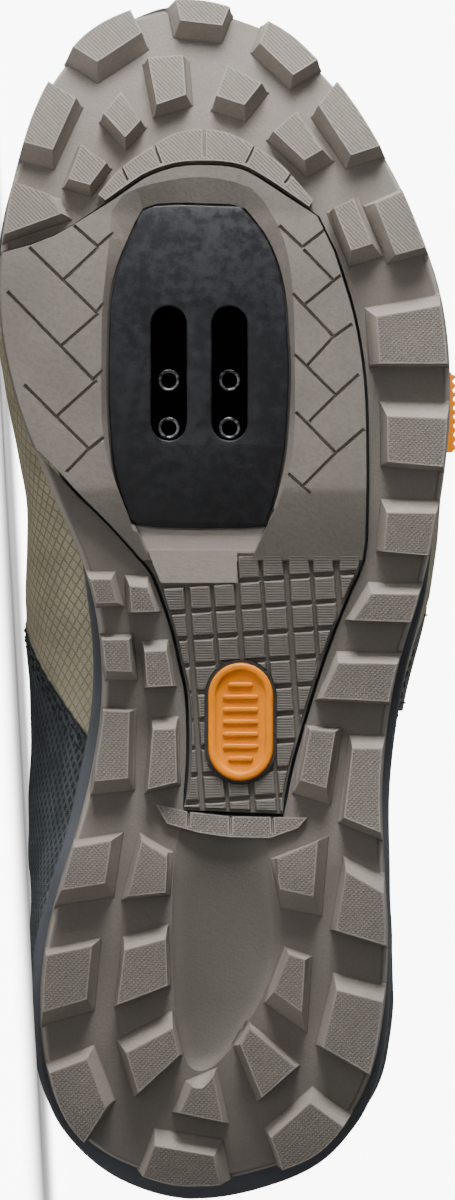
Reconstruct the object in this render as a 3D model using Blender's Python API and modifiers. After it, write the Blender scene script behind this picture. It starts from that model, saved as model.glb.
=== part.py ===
"""Left cycling shoe, built in its own axes and laid on its medial side.

In the shoe's own axes X points to the medial side, Y to the toe and Z up, with the ground at zero.
Tables hold shares of the named sizes unless a column says otherwise.
"""
import bmesh
import bpy
import math
import numpy as np
from mathutils import Matrix, Vector

# Sole
SOLE_LENGTH = 0.2765
BALL_WIDTH = 0.1045
LUG_HEIGHT = 0.0055
EDGE_DRAFT = 0.0012
OUTSOLE_THICKNESS = 0.0035
MIDSOLE_HEEL = 0.0125
MIDSOLE_TOE = 0.0075
MIDSOLE_RIB = 0.0011
TOE_SPRING = 0.0170
ARCH_RISE = 0.0035
HEEL_RISE = 0.0030
JOINT_GAP = 0.0003
GROOVE = 0.0007
STRIP_WIDTH = 0.0070
STRIP_HEIGHT = 0.0030
SCOOP_DEPTH = 0.0030
# Cleat
PAD_DROP = 0.0014
PLATE_DROP = 0.0032
PLATE_THICKNESS = 0.0014
PLATE_GAP = 0.0004
SLOT_WIDTH = 0.0082
SLOT_LENGTH = 0.0310
BOLT_SPACING = 0.0140
BOLT_PITCH = 0.0110
BOLT_SETBACK = 0.0071
NUT_DIAMETER = 0.0050
NUT_BORE = 0.0038
BADGE_LENGTH = 0.0268
BADGE_WIDTH = 0.0150
BADGE_HEIGHT = 0.0012
# Upper
WALL = 0.0022
HEEL_HEIGHT = 0.0700
INSTEP_HEIGHT = 0.0780
TOE_HEIGHT = 0.0380
INSOLE_THICKNESS = 0.0040
TONGUE_THICKNESS = 0.0040
TONGUE_CROWN = 0.0030
TONGUE_RISE = 0.0220
TONGUE_CLEARANCE = 0.0018
STRAP_THICKNESS = 0.0018
STRAP_EASE = 0.0007
FORE_STRAP_WIDTH = 0.0200
INSTEP_STRAP_WIDTH = 0.0250
TAB_LENGTH = 0.0187
TAB_REACH = 0.0110
TAB_THICKNESS = 0.0026

# Edge of the outsole from heel to toe: shares of the ball width, at even turns around the outline.
SOLE_EDGE = (
    # medial, lateral
    (0.085, 0.062), (0.172, -0.052), (0.278, -0.188), (0.359, -0.267), (0.399, -0.319),
    (0.416, -0.347), (0.404, -0.357), (0.360, -0.349), (0.306, -0.345), (0.279, -0.371),
    (0.304, -0.431), (0.384, -0.473), (0.464, -0.493), (0.504, -0.483), (0.501, -0.438),
    (0.474, -0.372), (0.434, -0.296), (0.376, -0.211), (0.301, -0.122), (0.197, -0.006),
    (0.107, 0.085),
)
# How far the midsole stands past the outsole, at the same turns.
MIDSOLE_EDGE = (
    # medial, lateral
    (0.000, 0.000), (0.018, 0.018), (0.014, 0.014), (0.008, 0.012), (0.012, 0.012),
    (0.014, 0.010), (0.024, 0.005), (0.024, 0.012), (0.027, 0.016), (0.020, 0.018),
    (0.009, 0.010), (-0.030, -0.014), (-0.036, -0.032), (-0.036, -0.036), (-0.036, -0.036),
    (-0.036, -0.036), (-0.036, -0.036), (-0.034, -0.034), (-0.030, -0.030), (-0.020, -0.020),
    (0.000, 0.000),
)
MIDSOLE_TAIL = 0.012
# Rise of the sole's underside above the ground.
RISE = (
    # place, toe spring, arch, heel
    (0.00, 0.00, 0.0, 1.00), (0.05, 0.00, 0.0, 0.22), (0.10, 0.00, 0.0, 0.0), (0.26, 0.00, 0.0, 0.0),
    (0.33, 0.00, 0.6, 0.0), (0.41, 0.00, 1.0, 0.0), (0.50, 0.00, 0.5, 0.0), (0.58, 0.00, 0.0, 0.0),
    (0.76, 0.00, 0.0, 0.0), (0.83, 0.12, 0.0, 0.0), (0.90, 0.38, 0.0, 0.0), (0.96, 0.74, 0.0, 0.0),
    (1.00, 1.00, 0.0, 0.0), (1.04, 1.25, 0.0, 0.0),
)
# Lugs: each has a fore end and an aft end, and a wall slope on each of its four sides.
# Ahead is a share of the length, across, long and wide are shares of the ball width.
# Turns are in degrees, and slopes are the run of the wall as shares of the lug height.
LUGS = (
    # name, ahead, across, long, turn, fore wide, fore turn, aft wide, aft turn,
    # slope fore, slope aft, slope medial, slope lateral
    ("toe_tip", 0.991, 0.055, 0.075, -5, 0.139, 1, 0.094, -2, 0.1, 0.4, 0.4, 0.1),
    ("toe_medial_1", 0.969, 0.271, 0.093, 43, 0.172, -11, 0.119, -9, 0.1, 0.5, 0.5, 0.1),
    ("toe_medial_2", 0.898, 0.401, 0.140, -18, 0.104, -13, 0.076, 3, 0.1, 0.7, 0.1, 0.3),
    ("toe_medial_3", 0.822, 0.443, 0.089, 1, 0.109, -21, 0.163, 19, 0.1, 0.2, 0.1, 0.4),
    ("inner_1", 0.930, 0.131, 0.099, 8, 0.078, -4, 0.068, 11, 0.1, 0.2, 0.2, 0.3),
    ("inner_2", 0.922, -0.022, 0.067, -28, 0.086, 0, 0.066, 10, 0.1, 0.4, 0.1, 0.3),
    ("inner_3", 0.898, 0.232, 0.075, 38, 0.062, 14, 0.051, 10, 0.1, 0.2, 0.2, 0.2),
    ("inner_4", 0.854, 0.311, 0.070, -27, 0.069, -9, 0.049, 11, 0.1, 0.3, 0.2, 0.2),
    ("inner_5", 0.879, -0.158, 0.098, 40, 0.068, 1, 0.047, -9, 0.1, 0.6, 0.3, 0.3),
    ("inner_6", 0.806, -0.276, 0.105, 22, 0.048, 5, 0.049, -4, 0.1, 0.7, 0.3, 0.3),
    ("toe_lateral_1", 0.960, -0.140, 0.097, -40, 0.167, 2, 0.103, -4, 0.1, 0.3, 0.4, 0.1),
    ("toe_lateral_2", 0.896, -0.276, 0.162, 34, 0.097, 18, 0.103, -16, 0.1, 0.3, 0.4, 0.1),
    ("ball_lateral_1", 0.809, -0.396, 0.131, 23, 0.098, 1, 0.106, -8, 0.3, 0.2, 0.5, 0.1),
    ("ball_lateral_2", 0.713, -0.420, 0.119, 6, 0.175, 4, 0.183, -6, 0.5, 0.1, 0.5, 0.1),
    ("ball_lateral_3", 0.626, -0.433, 0.105, -2, 0.167, 0, 0.157, -3, 0.7, 0.2, 0.3, 0.1),
    ("ball_lateral_4", 0.549, -0.417, 0.092, -8, 0.145, 7, 0.134, 3, 0.6, 0.1, 0.3, 0.1),
    ("waist_lateral_1", 0.487, -0.371, 0.066, -23, 0.134, 22, 0.159, 21, 0.4, 0.1, 0.3, 0.1),
    ("waist_lateral_2", 0.425, -0.315, 0.087, -20, 0.170, 19, 0.186, 17, 0.4, 0.1, 0.2, 0.1),
    ("waist_lateral_3", 0.362, -0.200, 0.120, -10, 0.056, 6, 0.061, -7, 0.2, 0.7, 0.2, 0.3),
    ("waist_lateral_4", 0.336, -0.323, 0.177, -3, 0.103, 2, 0.133, -19, 0.7, 0.2, 0.2, 0.1),
    ("waist_medial_1", 0.501, 0.273, 0.054, 15, 0.047, -15, 0.045, -13, 0.2, 0.3, 0.2, 0.2),
    ("waist_medial_2", 0.494, 0.190, 0.057, 12, 0.040, -16, 0.056, -10, 0.4, 0.1, 0.2, 0.1),
    ("waist_medial_3", 0.447, 0.245, 0.071, 8, 0.063, -8, 0.056, -10, 0.1, 0.5, 0.1, 0.2),
    ("waist_medial_4", 0.436, 0.154, 0.079, 7, 0.049, -4, 0.058, -4, 0.4, 0.1, 0.1, 0.1),
    ("waist_medial_5", 0.372, 0.253, 0.152, -3, 0.065, 1, 0.074, 9, 0.1, 0.6, 0.1, 0.3),
    ("waist_medial_6", 0.362, 0.142, 0.125, -2, 0.051, 5, 0.067, 16, 0.6, 0.1, 0.1, 0.1),
    ("heel_1", 0.267, -0.152, 0.094, 1, 0.105, 22, 0.075, -13, 0.1, 1.0, 0.1, 0.5),
    ("heel_2", 0.232, -0.316, 0.118, -4, 0.137, -26, 0.152, -13, 0.7, 0.1, 0.2, 0.1),
    ("heel_3", 0.177, -0.143, 0.102, -11, 0.040, -9, 0.077, -25, 0.2, 0.8, 0.2, 0.3),
    ("heel_4", 0.133, -0.297, 0.153, -10, 0.144, -5, 0.170, -20, 0.7, 0.1, 0.3, 0.1),
    ("heel_5", 0.110, -0.076, 0.071, -42, 0.135, 2, 0.125, -26, 0.1, 0.3, 0.5, 0.1),
    ("heel_6", 0.041, -0.177, 0.123, 38, 0.117, 4, 0.193, -4, 0.4, 0.1, 0.2, 0.6),
    ("heel_7", 0.013, 0.101, 0.109, -6, 0.134, -4, 0.197, 4, 0.6, 0.1, 0.2, 0.5),
    ("heel_8", 0.077, 0.056, 0.082, -2, 0.052, 27, 0.098, -10, 0.2, 0.2, 0.3, 0.2),
    ("heel_9", 0.077, 0.334, 0.152, 29, 0.131, -8, 0.110, 29, 0.4, 0.2, 0.1, 0.5),
    ("heel_10", 0.176, 0.376, 0.124, -5, 0.146, 17, 0.147, 21, 0.2, 0.7, 0.1, 0.4),
    ("heel_11", 0.185, 0.185, 0.112, -3, 0.095, 18, 0.119, 24, 0.6, 0.1, 0.1, 0.1),
    ("heel_12", 0.112, 0.162, 0.077, 15, 0.117, 13, 0.123, 28, 0.7, 0.1, 0.3, 0.1),
    ("heel_13", 0.271, 0.328, 0.096, -12, 0.125, 22, 0.138, 21, 0.4, 0.8, 0.1, 0.5),
    ("heel_14", 0.267, 0.170, 0.102, -10, 0.068, -22, 0.085, 16, 0.4, 0.2, 0.2, 0.2),
)
# Edge of the central insert, from the medial edge round the toe, down the lateral side and back up.
INSERT_TOE = (
    # ahead, across
    (0.779, 0.560), (0.797, 0.397), (0.823, 0.286), (0.841, 0.219), (0.852, 0.174), (0.860, 0.107),
    (0.861, 0.030), (0.858, -0.027), (0.850, -0.071), (0.833, -0.138), (0.816, -0.201),
)
INSERT_LATERAL = (
    # ahead, across
    (0.785, -0.239), (0.738, -0.277), (0.705, -0.295), (0.671, -0.306), (0.629, -0.310), (0.578, -0.310),
    (0.527, -0.304), (0.498, -0.272), (0.451, -0.223), (0.401, -0.179), (0.354, -0.143), (0.315, -0.123),
)
INSERT_MEDIAL = (
    # ahead, across
    (0.318, 0.098), (0.359, 0.089), (0.392, 0.089), (0.418, 0.094), (0.439, 0.107), (0.468, 0.125),
    (0.509, 0.163), (0.526, 0.196), (0.555, 0.263), (0.581, 0.330), (0.624, 0.442), (0.640, 0.560),
)
# Edge of the cleat plate.
PLATE_EDGE = (
    # ahead, across
    (0.824, 0.168), (0.802, 0.208), (0.772, 0.241), (0.738, 0.259), (0.679, 0.263), (0.645, 0.261),
    (0.603, 0.250), (0.570, 0.225), (0.554, 0.185), (0.553, -0.067), (0.561, -0.089), (0.586, -0.109),
    (0.620, -0.127), (0.679, -0.136), (0.713, -0.132), (0.747, -0.125), (0.779, -0.105), (0.802, -0.076),
    (0.824, -0.030),
)
SLOT_MIDDLE = 0.6826
SLOT_ACROSS = 0.0625
PAD_END = (0.606, 0.552)
ARCH_FLOOR = 0.0020
BADGE_PLACE = (0.3915, -0.0290)
# Sections of the upper from heel to toe, at even turns around the sole.
# Low and high are points on the side wall, edge is on the rim of the opening.
# Bulges are past the foot of the wall, in shares of the ball width; heights are shares of the local height.
SECTIONS = (
    # low ahead, low up, bulge medial, bulge lateral, high ahead, high up, high medial, high lateral,
    # edge ahead, edge up, edge medial, edge lateral
    (-0.004, 0.28, 0.000, 0.000, -0.004, 0.68, 0.053, 0.053, 0.016, 1.00, 0.050, 0.050),
    (-0.003, 0.29, 0.012, 0.012, 0.020, 0.68, 0.226, -0.150, 0.034, 0.99, 0.178, -0.085),
    (0.000, 0.30, 0.008, 0.010, 0.089, 0.66, 0.350, -0.262, 0.089, 0.92, 0.280, -0.190),
    (0.000, 0.31, 0.018, 0.006, 0.192, 0.60, 0.392, -0.312, 0.181, 0.76, 0.318, -0.240),
    (-0.012, 0.31, 0.118, 0.000, 0.311, 0.60, 0.412, -0.325, 0.289, 0.77, 0.284, -0.218),
    (-0.024, 0.30, 0.150, 0.004, 0.434, 0.63, 0.376, -0.318, 0.391, 0.97, 0.196, -0.140),
    (-0.028, 0.27, 0.050, 0.006, 0.568, 0.60, 0.330, -0.318, 0.492, 0.85, 0.156, -0.106),
    (-0.018, 0.25, 0.018, 0.006, 0.694, 0.57, 0.278, -0.258, 0.579, 0.75, 0.138, -0.094),
    (-0.008, 0.35, 0.008, 0.004, 0.785, 0.80, 0.222, -0.180, 0.650, 1.02, 0.118, -0.078),
    (-0.002, 0.42, 0.004, 0.004, 0.838, 0.99, 0.150, -0.072, 0.686, 1.36, 0.084, -0.046),
    (0.000, 0.44, 0.000, 0.000, 0.858, 0.99, 0.048, 0.048, 0.702, 1.36, 0.020, 0.020),
)
UPPER_INSET = 0.008
UPPER_COLUMNS = 30
UPPER_ROWS = 12
OUTLINE_COLUMNS = 36
FORE_STRAP_PLACE = 0.651
INSTEP_STRAP_PLACE = 0.441
DENSITY = {"rubber": 1150.0, "foam": 300.0, "cloth": 650.0, "plastic": 1200.0, "steel": 7800.0}


def curve(values, at):
    """Read a smooth curve through evenly spaced rows, at a share from 0 to 1."""
    rows = np.asarray(values, dtype=float)
    last = len(rows) - 1
    spot = min(max(at, 0.0), 1.0) * last
    i = min(int(spot), last - 1)
    t = spot - i
    before = rows[i - 1] if i > 0 else 2 * rows[i] - rows[i + 1]
    after = rows[i + 2] if i + 2 <= last else 2 * rows[i + 1] - rows[i]
    a, b = rows[i], rows[i + 1]
    return 0.5 * (2 * a + (b - before) * t + (2 * before - 5 * a + 4 * b - after) * t * t
                  + (3 * a - before - 3 * b + after) * t ** 3)


def ground_rise(y):
    """Height of the underside above the ground at a distance from the heel, and its slope."""
    rows = np.asarray(RISE)
    heights = rows[:, 1] * TOE_SPRING + rows[:, 2] * ARCH_RISE + rows[:, 3] * HEEL_RISE
    places = rows[:, 0] * SOLE_LENGTH
    slopes = np.gradient(heights, places)
    flat = (np.diff(heights, prepend=heights[0]) == 0) | (np.diff(heights, append=heights[-1]) == 0)
    slopes = np.where(flat, 0.0, slopes)
    slopes[0] = (heights[1] - heights[0]) / (places[1] - places[0])
    slopes[-1] = (heights[-1] - heights[-2]) / (places[-1] - places[-2])
    if y <= places[0]:
        return heights[0] + slopes[0] * (y - places[0]), slopes[0]
    if y >= places[-1]:
        return heights[-1] + slopes[-1] * (y - places[-1]), slopes[-1]
    i = int(np.searchsorted(places, y, side="right")) - 1
    h = places[i + 1] - places[i]
    t = (y - places[i]) / h
    value = ((2 * t ** 3 - 3 * t * t + 1) * heights[i] + (t ** 3 - 2 * t * t + t) * h * slopes[i]
             + (3 * t * t - 2 * t ** 3) * heights[i + 1] + (t ** 3 - t * t) * h * slopes[i + 1])
    slope = ((6 * t * t - 6 * t) * (heights[i] - heights[i + 1]) / h
             + (3 * t * t - 4 * t + 1) * slopes[i] + (3 * t * t - 2 * t) * slopes[i + 1])
    return value, slope


def bend(x, y, z):
    """Carry a point of the flat sole onto the sprung sole."""
    rise, slope = ground_rise(y)
    turn = math.atan(slope)
    return Vector((x, y - z * math.sin(turn), rise + z * math.cos(turn)))


def sole_edge(around, side, midsole=False):
    """Point on the sole's edge: around runs from heel to toe, side is 1 medial or -1 lateral."""
    column = 0 if side > 0 else 1
    x = curve(SOLE_EDGE, around)[column] * BALL_WIDTH
    y = SOLE_LENGTH * (1 - math.cos(math.pi * around)) / 2
    if midsole:
        x += side * curve(MIDSOLE_EDGE, around)[column] * BALL_WIDTH
        y -= SOLE_LENGTH * MIDSOLE_TAIL * (1 - around) ** 3
    return x, y


def inset_loop(points, inset):
    """Move each point of a closed counterclockwise loop inwards."""
    moved = []
    count = len(points)
    for i, point in enumerate(points):
        before = Vector(points[i - 1])
        after = Vector(points[(i + 1) % count])
        along = (after - before).normalized()
        moved.append((point[0] - along.y * inset, point[1] + along.x * inset))
    return moved


def outline(columns, inset=0.0, midsole=False):
    """Closed counterclockwise loop around the sole, starting at the heel."""
    loop = []
    for i in range(columns + 1):
        loop.append(sole_edge(i / columns, 1, midsole))
    for i in range(columns - 1, 0, -1):
        loop.append(sole_edge(i / columns, -1, midsole))
    return inset_loop(loop, inset)


def material(name, colour, roughness, metallic=0.0):
    """Make a plain surface."""
    made = bpy.data.materials.new(name)
    made.use_nodes = True
    shader = made.node_tree.nodes["Principled BSDF"]
    shader.inputs["Base Color"].default_value = (*colour, 1.0)
    shader.inputs["Roughness"].default_value = roughness
    shader.inputs["Metallic"].default_value = metallic
    made.diffuse_color = (*colour, 1.0)
    return made


def add_object(name, mesh_builder, collection):
    """Put a bmesh into the file as one object and free it."""
    mesh = bpy.data.meshes.new(name)
    bmesh.ops.recalc_face_normals(mesh_builder, faces=mesh_builder.faces)
    mesh_builder.to_mesh(mesh)
    mesh_builder.free()
    made = bpy.data.objects.new(name, mesh)
    collection.objects.link(made)
    return made


def prism(points, low, high, stations=(), curved=True, top=None):
    """Extrude a closed loop from low to high, cut it at stations and bend it with the sole."""
    build = bmesh.new()
    lower = [build.verts.new((x, y, low)) for x, y in points]
    upper = [build.verts.new((x, y, high)) for x, y in (top or points)]
    build.faces.new(list(reversed(lower)))
    build.faces.new(upper)
    for i in range(len(points)):
        j = (i + 1) % len(points)
        build.faces.new((lower[i], lower[j], upper[j], upper[i]))
    for place in stations:
        bmesh.ops.bisect_plane(
            build, geom=build.verts[:] + build.edges[:] + build.faces[:], dist=1e-7,
            plane_co=(0, place, 0), plane_no=(0, 1, 0))
    if curved:
        for vert in build.verts:
            vert.co = bend(*vert.co)
    return build


def rise_stations(low=-0.02, high=1.02, count=20):
    """Places where flat work is cut so that it can follow the sole's rise."""
    return [SOLE_LENGTH * (low + (high - low) * i / count) for i in range(1, count)]


def combine(target, tool, operation):
    """Apply one Boolean between two objects, or with a collection of tools."""
    modifier = target.modifiers.new(operation, "BOOLEAN")
    modifier.operation = operation
    modifier.solver = "EXACT"
    if isinstance(tool, bpy.types.Collection):
        modifier.operand_type = "COLLECTION"
        modifier.collection = tool
    else:
        modifier.object = tool


def apply_modifiers(target):
    """Replace an object's mesh by its finished form."""
    graph = bpy.context.evaluated_depsgraph_get()
    mesh = bpy.data.meshes.new_from_object(target.evaluated_get(graph))
    target.modifiers.clear()
    target.data = mesh


def clean(target):
    """Join doubled corners and level out faces that lie in one plane."""
    build = bmesh.new()
    build.from_mesh(target.data)
    bmesh.ops.remove_doubles(build, verts=build.verts, dist=0.00002)
    bmesh.ops.dissolve_degenerate(build, edges=build.edges, dist=0.00002)
    bmesh.ops.triangulate(build, faces=build.faces)
    bmesh.ops.recalc_face_normals(build, faces=build.faces)
    if build.calc_volume(signed=True) < 0:
        bmesh.ops.reverse_faces(build, faces=build.faces)
    build.to_mesh(target.data)
    build.free()


def lug_loops(row):
    """Corners of a lug's worn face and of its wider foot, counterclockwise."""
    name, ahead, across, long, turn, fore, fore_turn, aft, aft_turn, *slopes = row
    middle = Vector((across * BALL_WIDTH, ahead * SOLE_LENGTH))
    axis = Vector((math.sin(math.radians(turn)), math.cos(math.radians(turn))))
    corners = []
    for sign, wide, more in ((1, fore, fore_turn), (-1, aft, aft_turn)):
        way = math.radians(-(turn + more))
        edge = Vector((math.cos(way), math.sin(way))) * wide * BALL_WIDTH / 2
        end = middle + axis * sign * long * BALL_WIDTH / 2
        corners.append((end + edge, end - edge))
    (fore_medial, fore_lateral), (aft_medial, aft_lateral) = corners
    face = [aft_medial, fore_medial, fore_lateral, aft_lateral]
    # Sides in the order of the loop: medial, fore, lateral, aft.
    runs = [slopes[2], slopes[0], slopes[3], slopes[1]]
    runs = [run * LUG_HEIGHT for run in runs]
    foot = []
    for i in range(4):
        before, here, after = face[i - 1], face[i], face[(i + 1) % 4]
        entering = (here - before).normalized()
        leaving = (after - here).normalized()
        out_in = Vector((entering.y, -entering.x))
        out_out = Vector((leaving.y, -leaving.x))
        a, b = runs[i - 1], runs[i]
        cross = out_in.x * out_out.y - out_in.y * out_out.x
        if abs(cross) < 0.05:
            foot.append(here + out_in * a)
            continue
        shift = Vector(((a * out_out.y - b * out_in.y) / cross, (b * out_in.x - a * out_out.x) / cross))
        foot.append(here + shift)
    area = sum(face[i].x * face[(i + 1) % 4].y - face[(i + 1) % 4].x * face[i].y for i in range(4))
    if area < 0:
        return [tuple(p) for p in reversed(face)], [tuple(p) for p in reversed(foot)]
    return [tuple(p) for p in face], [tuple(p) for p in foot]


def insert_outline(inset):
    """Closed loop around the central insert."""
    loop = []
    for table in (INSERT_TOE, INSERT_LATERAL, INSERT_MEDIAL):
        for ahead, across in table:
            loop.append((across * BALL_WIDTH, ahead * SOLE_LENGTH))
    return inset_loop(loop, inset)


def plate_outline(inset):
    """Closed loop around the cleat plate."""
    loop = [(across * BALL_WIDTH, ahead * SOLE_LENGTH) for ahead, across in reversed(PLATE_EDGE)]
    return inset_loop(loop, inset)


def slot_outline(side, inset=0.0):
    """Round-ended slot of the cleat plate."""
    middle_x = SLOT_ACROSS * BALL_WIDTH + side * BOLT_SPACING / 2
    middle_y = SLOT_MIDDLE * SOLE_LENGTH
    radius = SLOT_WIDTH / 2 - inset
    half = SLOT_LENGTH / 2 - SLOT_WIDTH / 2
    loop = []
    for end in (1, -1):
        for i in range(9):
            turn = math.pi * i / 8 + (0 if end > 0 else math.pi)
            loop.append((middle_x + radius * math.cos(turn),
                         middle_y + end * half + radius * math.sin(turn)))
    return loop


def midsole_thickness(y):
    """Thickness of the midsole at a distance from the heel."""
    share = min(max(y / SOLE_LENGTH, 0.0), 1.0)
    ease = share * share * (3 - 2 * share)
    return MIDSOLE_HEEL + (MIDSOLE_TOE - MIDSOLE_HEEL) * ease


def midsole_base():
    """Level of the midsole's underside above the worn faces."""
    return LUG_HEIGHT + OUTSOLE_THICKNESS + JOINT_GAP


def footbed(y):
    """Level of the midsole's top above the worn faces."""
    return midsole_base() + midsole_thickness(y)


def local_height(around):
    """Height of the upper above the footbed, blended from heel, instep and toe."""
    heel = max(0.0, 1 - around / 0.32)
    heel = heel * heel * (3 - 2 * heel)
    toe = min(max((around - 0.66) / 0.24, 0.0), 1.0)
    toe = toe * toe * (3 - 2 * toe)
    return HEEL_HEIGHT * heel + TOE_HEIGHT * toe + INSTEP_HEIGHT * (1 - heel - toe)


def upper_point(around, side, up):
    """Point on the upper's outer face: up runs from its foot to the rim of the opening."""
    row = curve(SECTIONS, around)
    height = local_height(around)
    foot_x, foot_y = sole_edge(around, side, True)
    near_x, near_y = sole_edge(min(around + 0.02, 1.0), side, True)
    back_x, back_y = sole_edge(max(around - 0.02, 0.0), side, True)
    along = Vector((near_x - back_x, near_y - back_y))
    if around in (0.0, 1.0):
        along = Vector((-side if around else side, 0.0))
    along.normalize()
    out = Vector((along.y, -along.x)) * side
    inset = UPPER_INSET * BALL_WIDTH
    foot_x -= out.x * inset
    foot_y -= out.y * inset
    foot = bend(foot_x, foot_y, footbed(foot_y) + JOINT_GAP)
    medial = side > 0
    low = Vector((foot.x + side * row[2 if medial else 3] * BALL_WIDTH,
                  foot.y + row[0] * SOLE_LENGTH, foot.z + row[1] * height))
    high_y = row[4] * SOLE_LENGTH
    high = Vector((row[6 if medial else 7] * BALL_WIDTH, high_y,
                   bend(0, high_y, footbed(high_y)).z + row[5] * height))
    edge_y = row[8] * SOLE_LENGTH
    edge = Vector((row[10 if medial else 11] * BALL_WIDTH, edge_y,
                   bend(0, edge_y, footbed(edge_y)).z + row[9] * height))
    if around in (0.0, 1.0):
        low.x = foot.x
    t = min(max(up, 0.0), 1.0)
    third = 1 / 3
    weights = (
        (t - third) * (t - 2 * third) * (t - 1) / (-third * 2 * third),
        t * (t - 2 * third) * (t - 1) / (third * third * 2 * third),
        t * (t - third) * (t - 1) / (-2 * third * third * third),
        t * (t - third) * (t - 2 * third) / (2 * third * third),
    )
    return foot * weights[0] + low * weights[1] + high * weights[2] + edge * weights[3]


def upper_normal(around, side, up):
    """Outward direction of the upper's face."""
    step = 0.01
    a = upper_point(min(around + step, 1.0), side, up) - upper_point(max(around - step, 0.0), side, up)
    b = upper_point(around, side, min(up + step, 1.0)) - upper_point(around, side, max(up - step, 0.0))
    return (a.cross(b) * side).normalized()


def upper_at(place, side, up, shift):
    """Point of the upper at a distance from the heel, moved out along its face."""
    low, high = 0.02, 0.98
    for _ in range(24):
        middle = (low + high) / 2
        if upper_point(middle, side, up).y < place:
            low = middle
        else:
            high = middle
    middle = (low + high) / 2
    return upper_point(middle, side, up) + upper_normal(middle, side, up) * shift


def make_outsole(collection, tools):
    """Lugged rubber frame around the central insert."""
    reach = BALL_WIDTH * 0.7
    slab_loop = [(-reach, -0.03 * SOLE_LENGTH), (reach, -0.03 * SOLE_LENGTH),
                 (reach, 1.03 * SOLE_LENGTH), (-reach, 1.03 * SOLE_LENGTH)]
    top = LUG_HEIGHT + OUTSOLE_THICKNESS
    slab = add_object("outsole", prism(slab_loop, LUG_HEIGHT, top, rise_stations(-0.03, 1.03, 24)),
                      collection)
    lugs = bpy.data.collections.new("lugs")
    tools.children.link(lugs)
    for row in LUGS:
        face, foot = lug_loops(row)
        add_object(row[0], prism(face, 0.0, LUG_HEIGHT + 0.4 * OUTSOLE_THICKNESS, (), True, foot), lugs)
    strip = STRIP_HEIGHT
    inner = insert_outline(-GROOVE)
    outer = insert_outline(-GROOVE - STRIP_WIDTH)
    count = len(INSERT_TOE)
    toe_loop = [outer[i] for i in range(3, count)] + [inner[i] for i in range(count - 1, 2, -1)]
    toe_loop.reverse()
    add_object("toe_strip", prism(toe_loop, LUG_HEIGHT - strip, LUG_HEIGHT + 0.3 * OUTSOLE_THICKNESS,
                                  rise_stations(0.78, 0.92, 6)), lugs)
    heel_y = INSERT_LATERAL[-1][0] * SOLE_LENGTH - GROOVE - 0.0006
    left = INSERT_MEDIAL[0][1] * BALL_WIDTH + STRIP_WIDTH
    right = INSERT_LATERAL[-1][1] * BALL_WIDTH - STRIP_WIDTH * 0.8
    heel_loop = [(left, heel_y + 0.0012), (right, heel_y), (right + 0.002, heel_y - 0.75 * STRIP_WIDTH),
                 (left - 0.003, heel_y - 0.62 * STRIP_WIDTH)]
    heel_loop.reverse()
    add_object("heel_strip", prism(heel_loop, LUG_HEIGHT - strip * 0.6,
                                   LUG_HEIGHT + 0.3 * OUTSOLE_THICKNESS), lugs)
    combine(slab, lugs, "UNION")
    shell = add_object(
        "outsole_envelope",
        prism(outline(OUTLINE_COLUMNS, EDGE_DRAFT), -0.004, top + 0.004, rise_stations(), True,
              outline(OUTLINE_COLUMNS, -EDGE_DRAFT * 0.3)), tools)
    combine(slab, shell, "INTERSECT")
    hole = add_object("insert_cut", prism(insert_outline(-GROOVE / 2), -0.004, top + 0.004,
                                          rise_stations(0.28, 0.9, 10)), tools)
    combine(slab, hole, "DIFFERENCE")
    combine(slab, make_scoop(tools), "DIFFERENCE")
    apply_modifiers(slab)
    clean(slab)
    return slab


def make_scoop(tools):
    """Smooth hollow in the heel, deepest at its toe end."""
    build = bmesh.new()
    bmesh.ops.create_uvsphere(build, u_segments=20, v_segments=14, radius=1.0)
    half_long = 0.120 * SOLE_LENGTH
    half_wide = 0.118 * BALL_WIDTH
    middle = Vector((0.022 * BALL_WIDTH, 0.200 * SOLE_LENGTH))
    deep = LUG_HEIGHT + SCOOP_DEPTH
    for vert in build.verts:
        x, y, z = vert.co
        waist = 1.0 + 0.25 * y
        flat = bend(middle.x + x * half_wide * waist + y * 0.01 * BALL_WIDTH, middle.y + y * half_long,
                    z * deep * (1.0 if z > 0 else 1.2))
        vert.co = flat
    return add_object("heel_scoop", build, tools)


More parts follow.
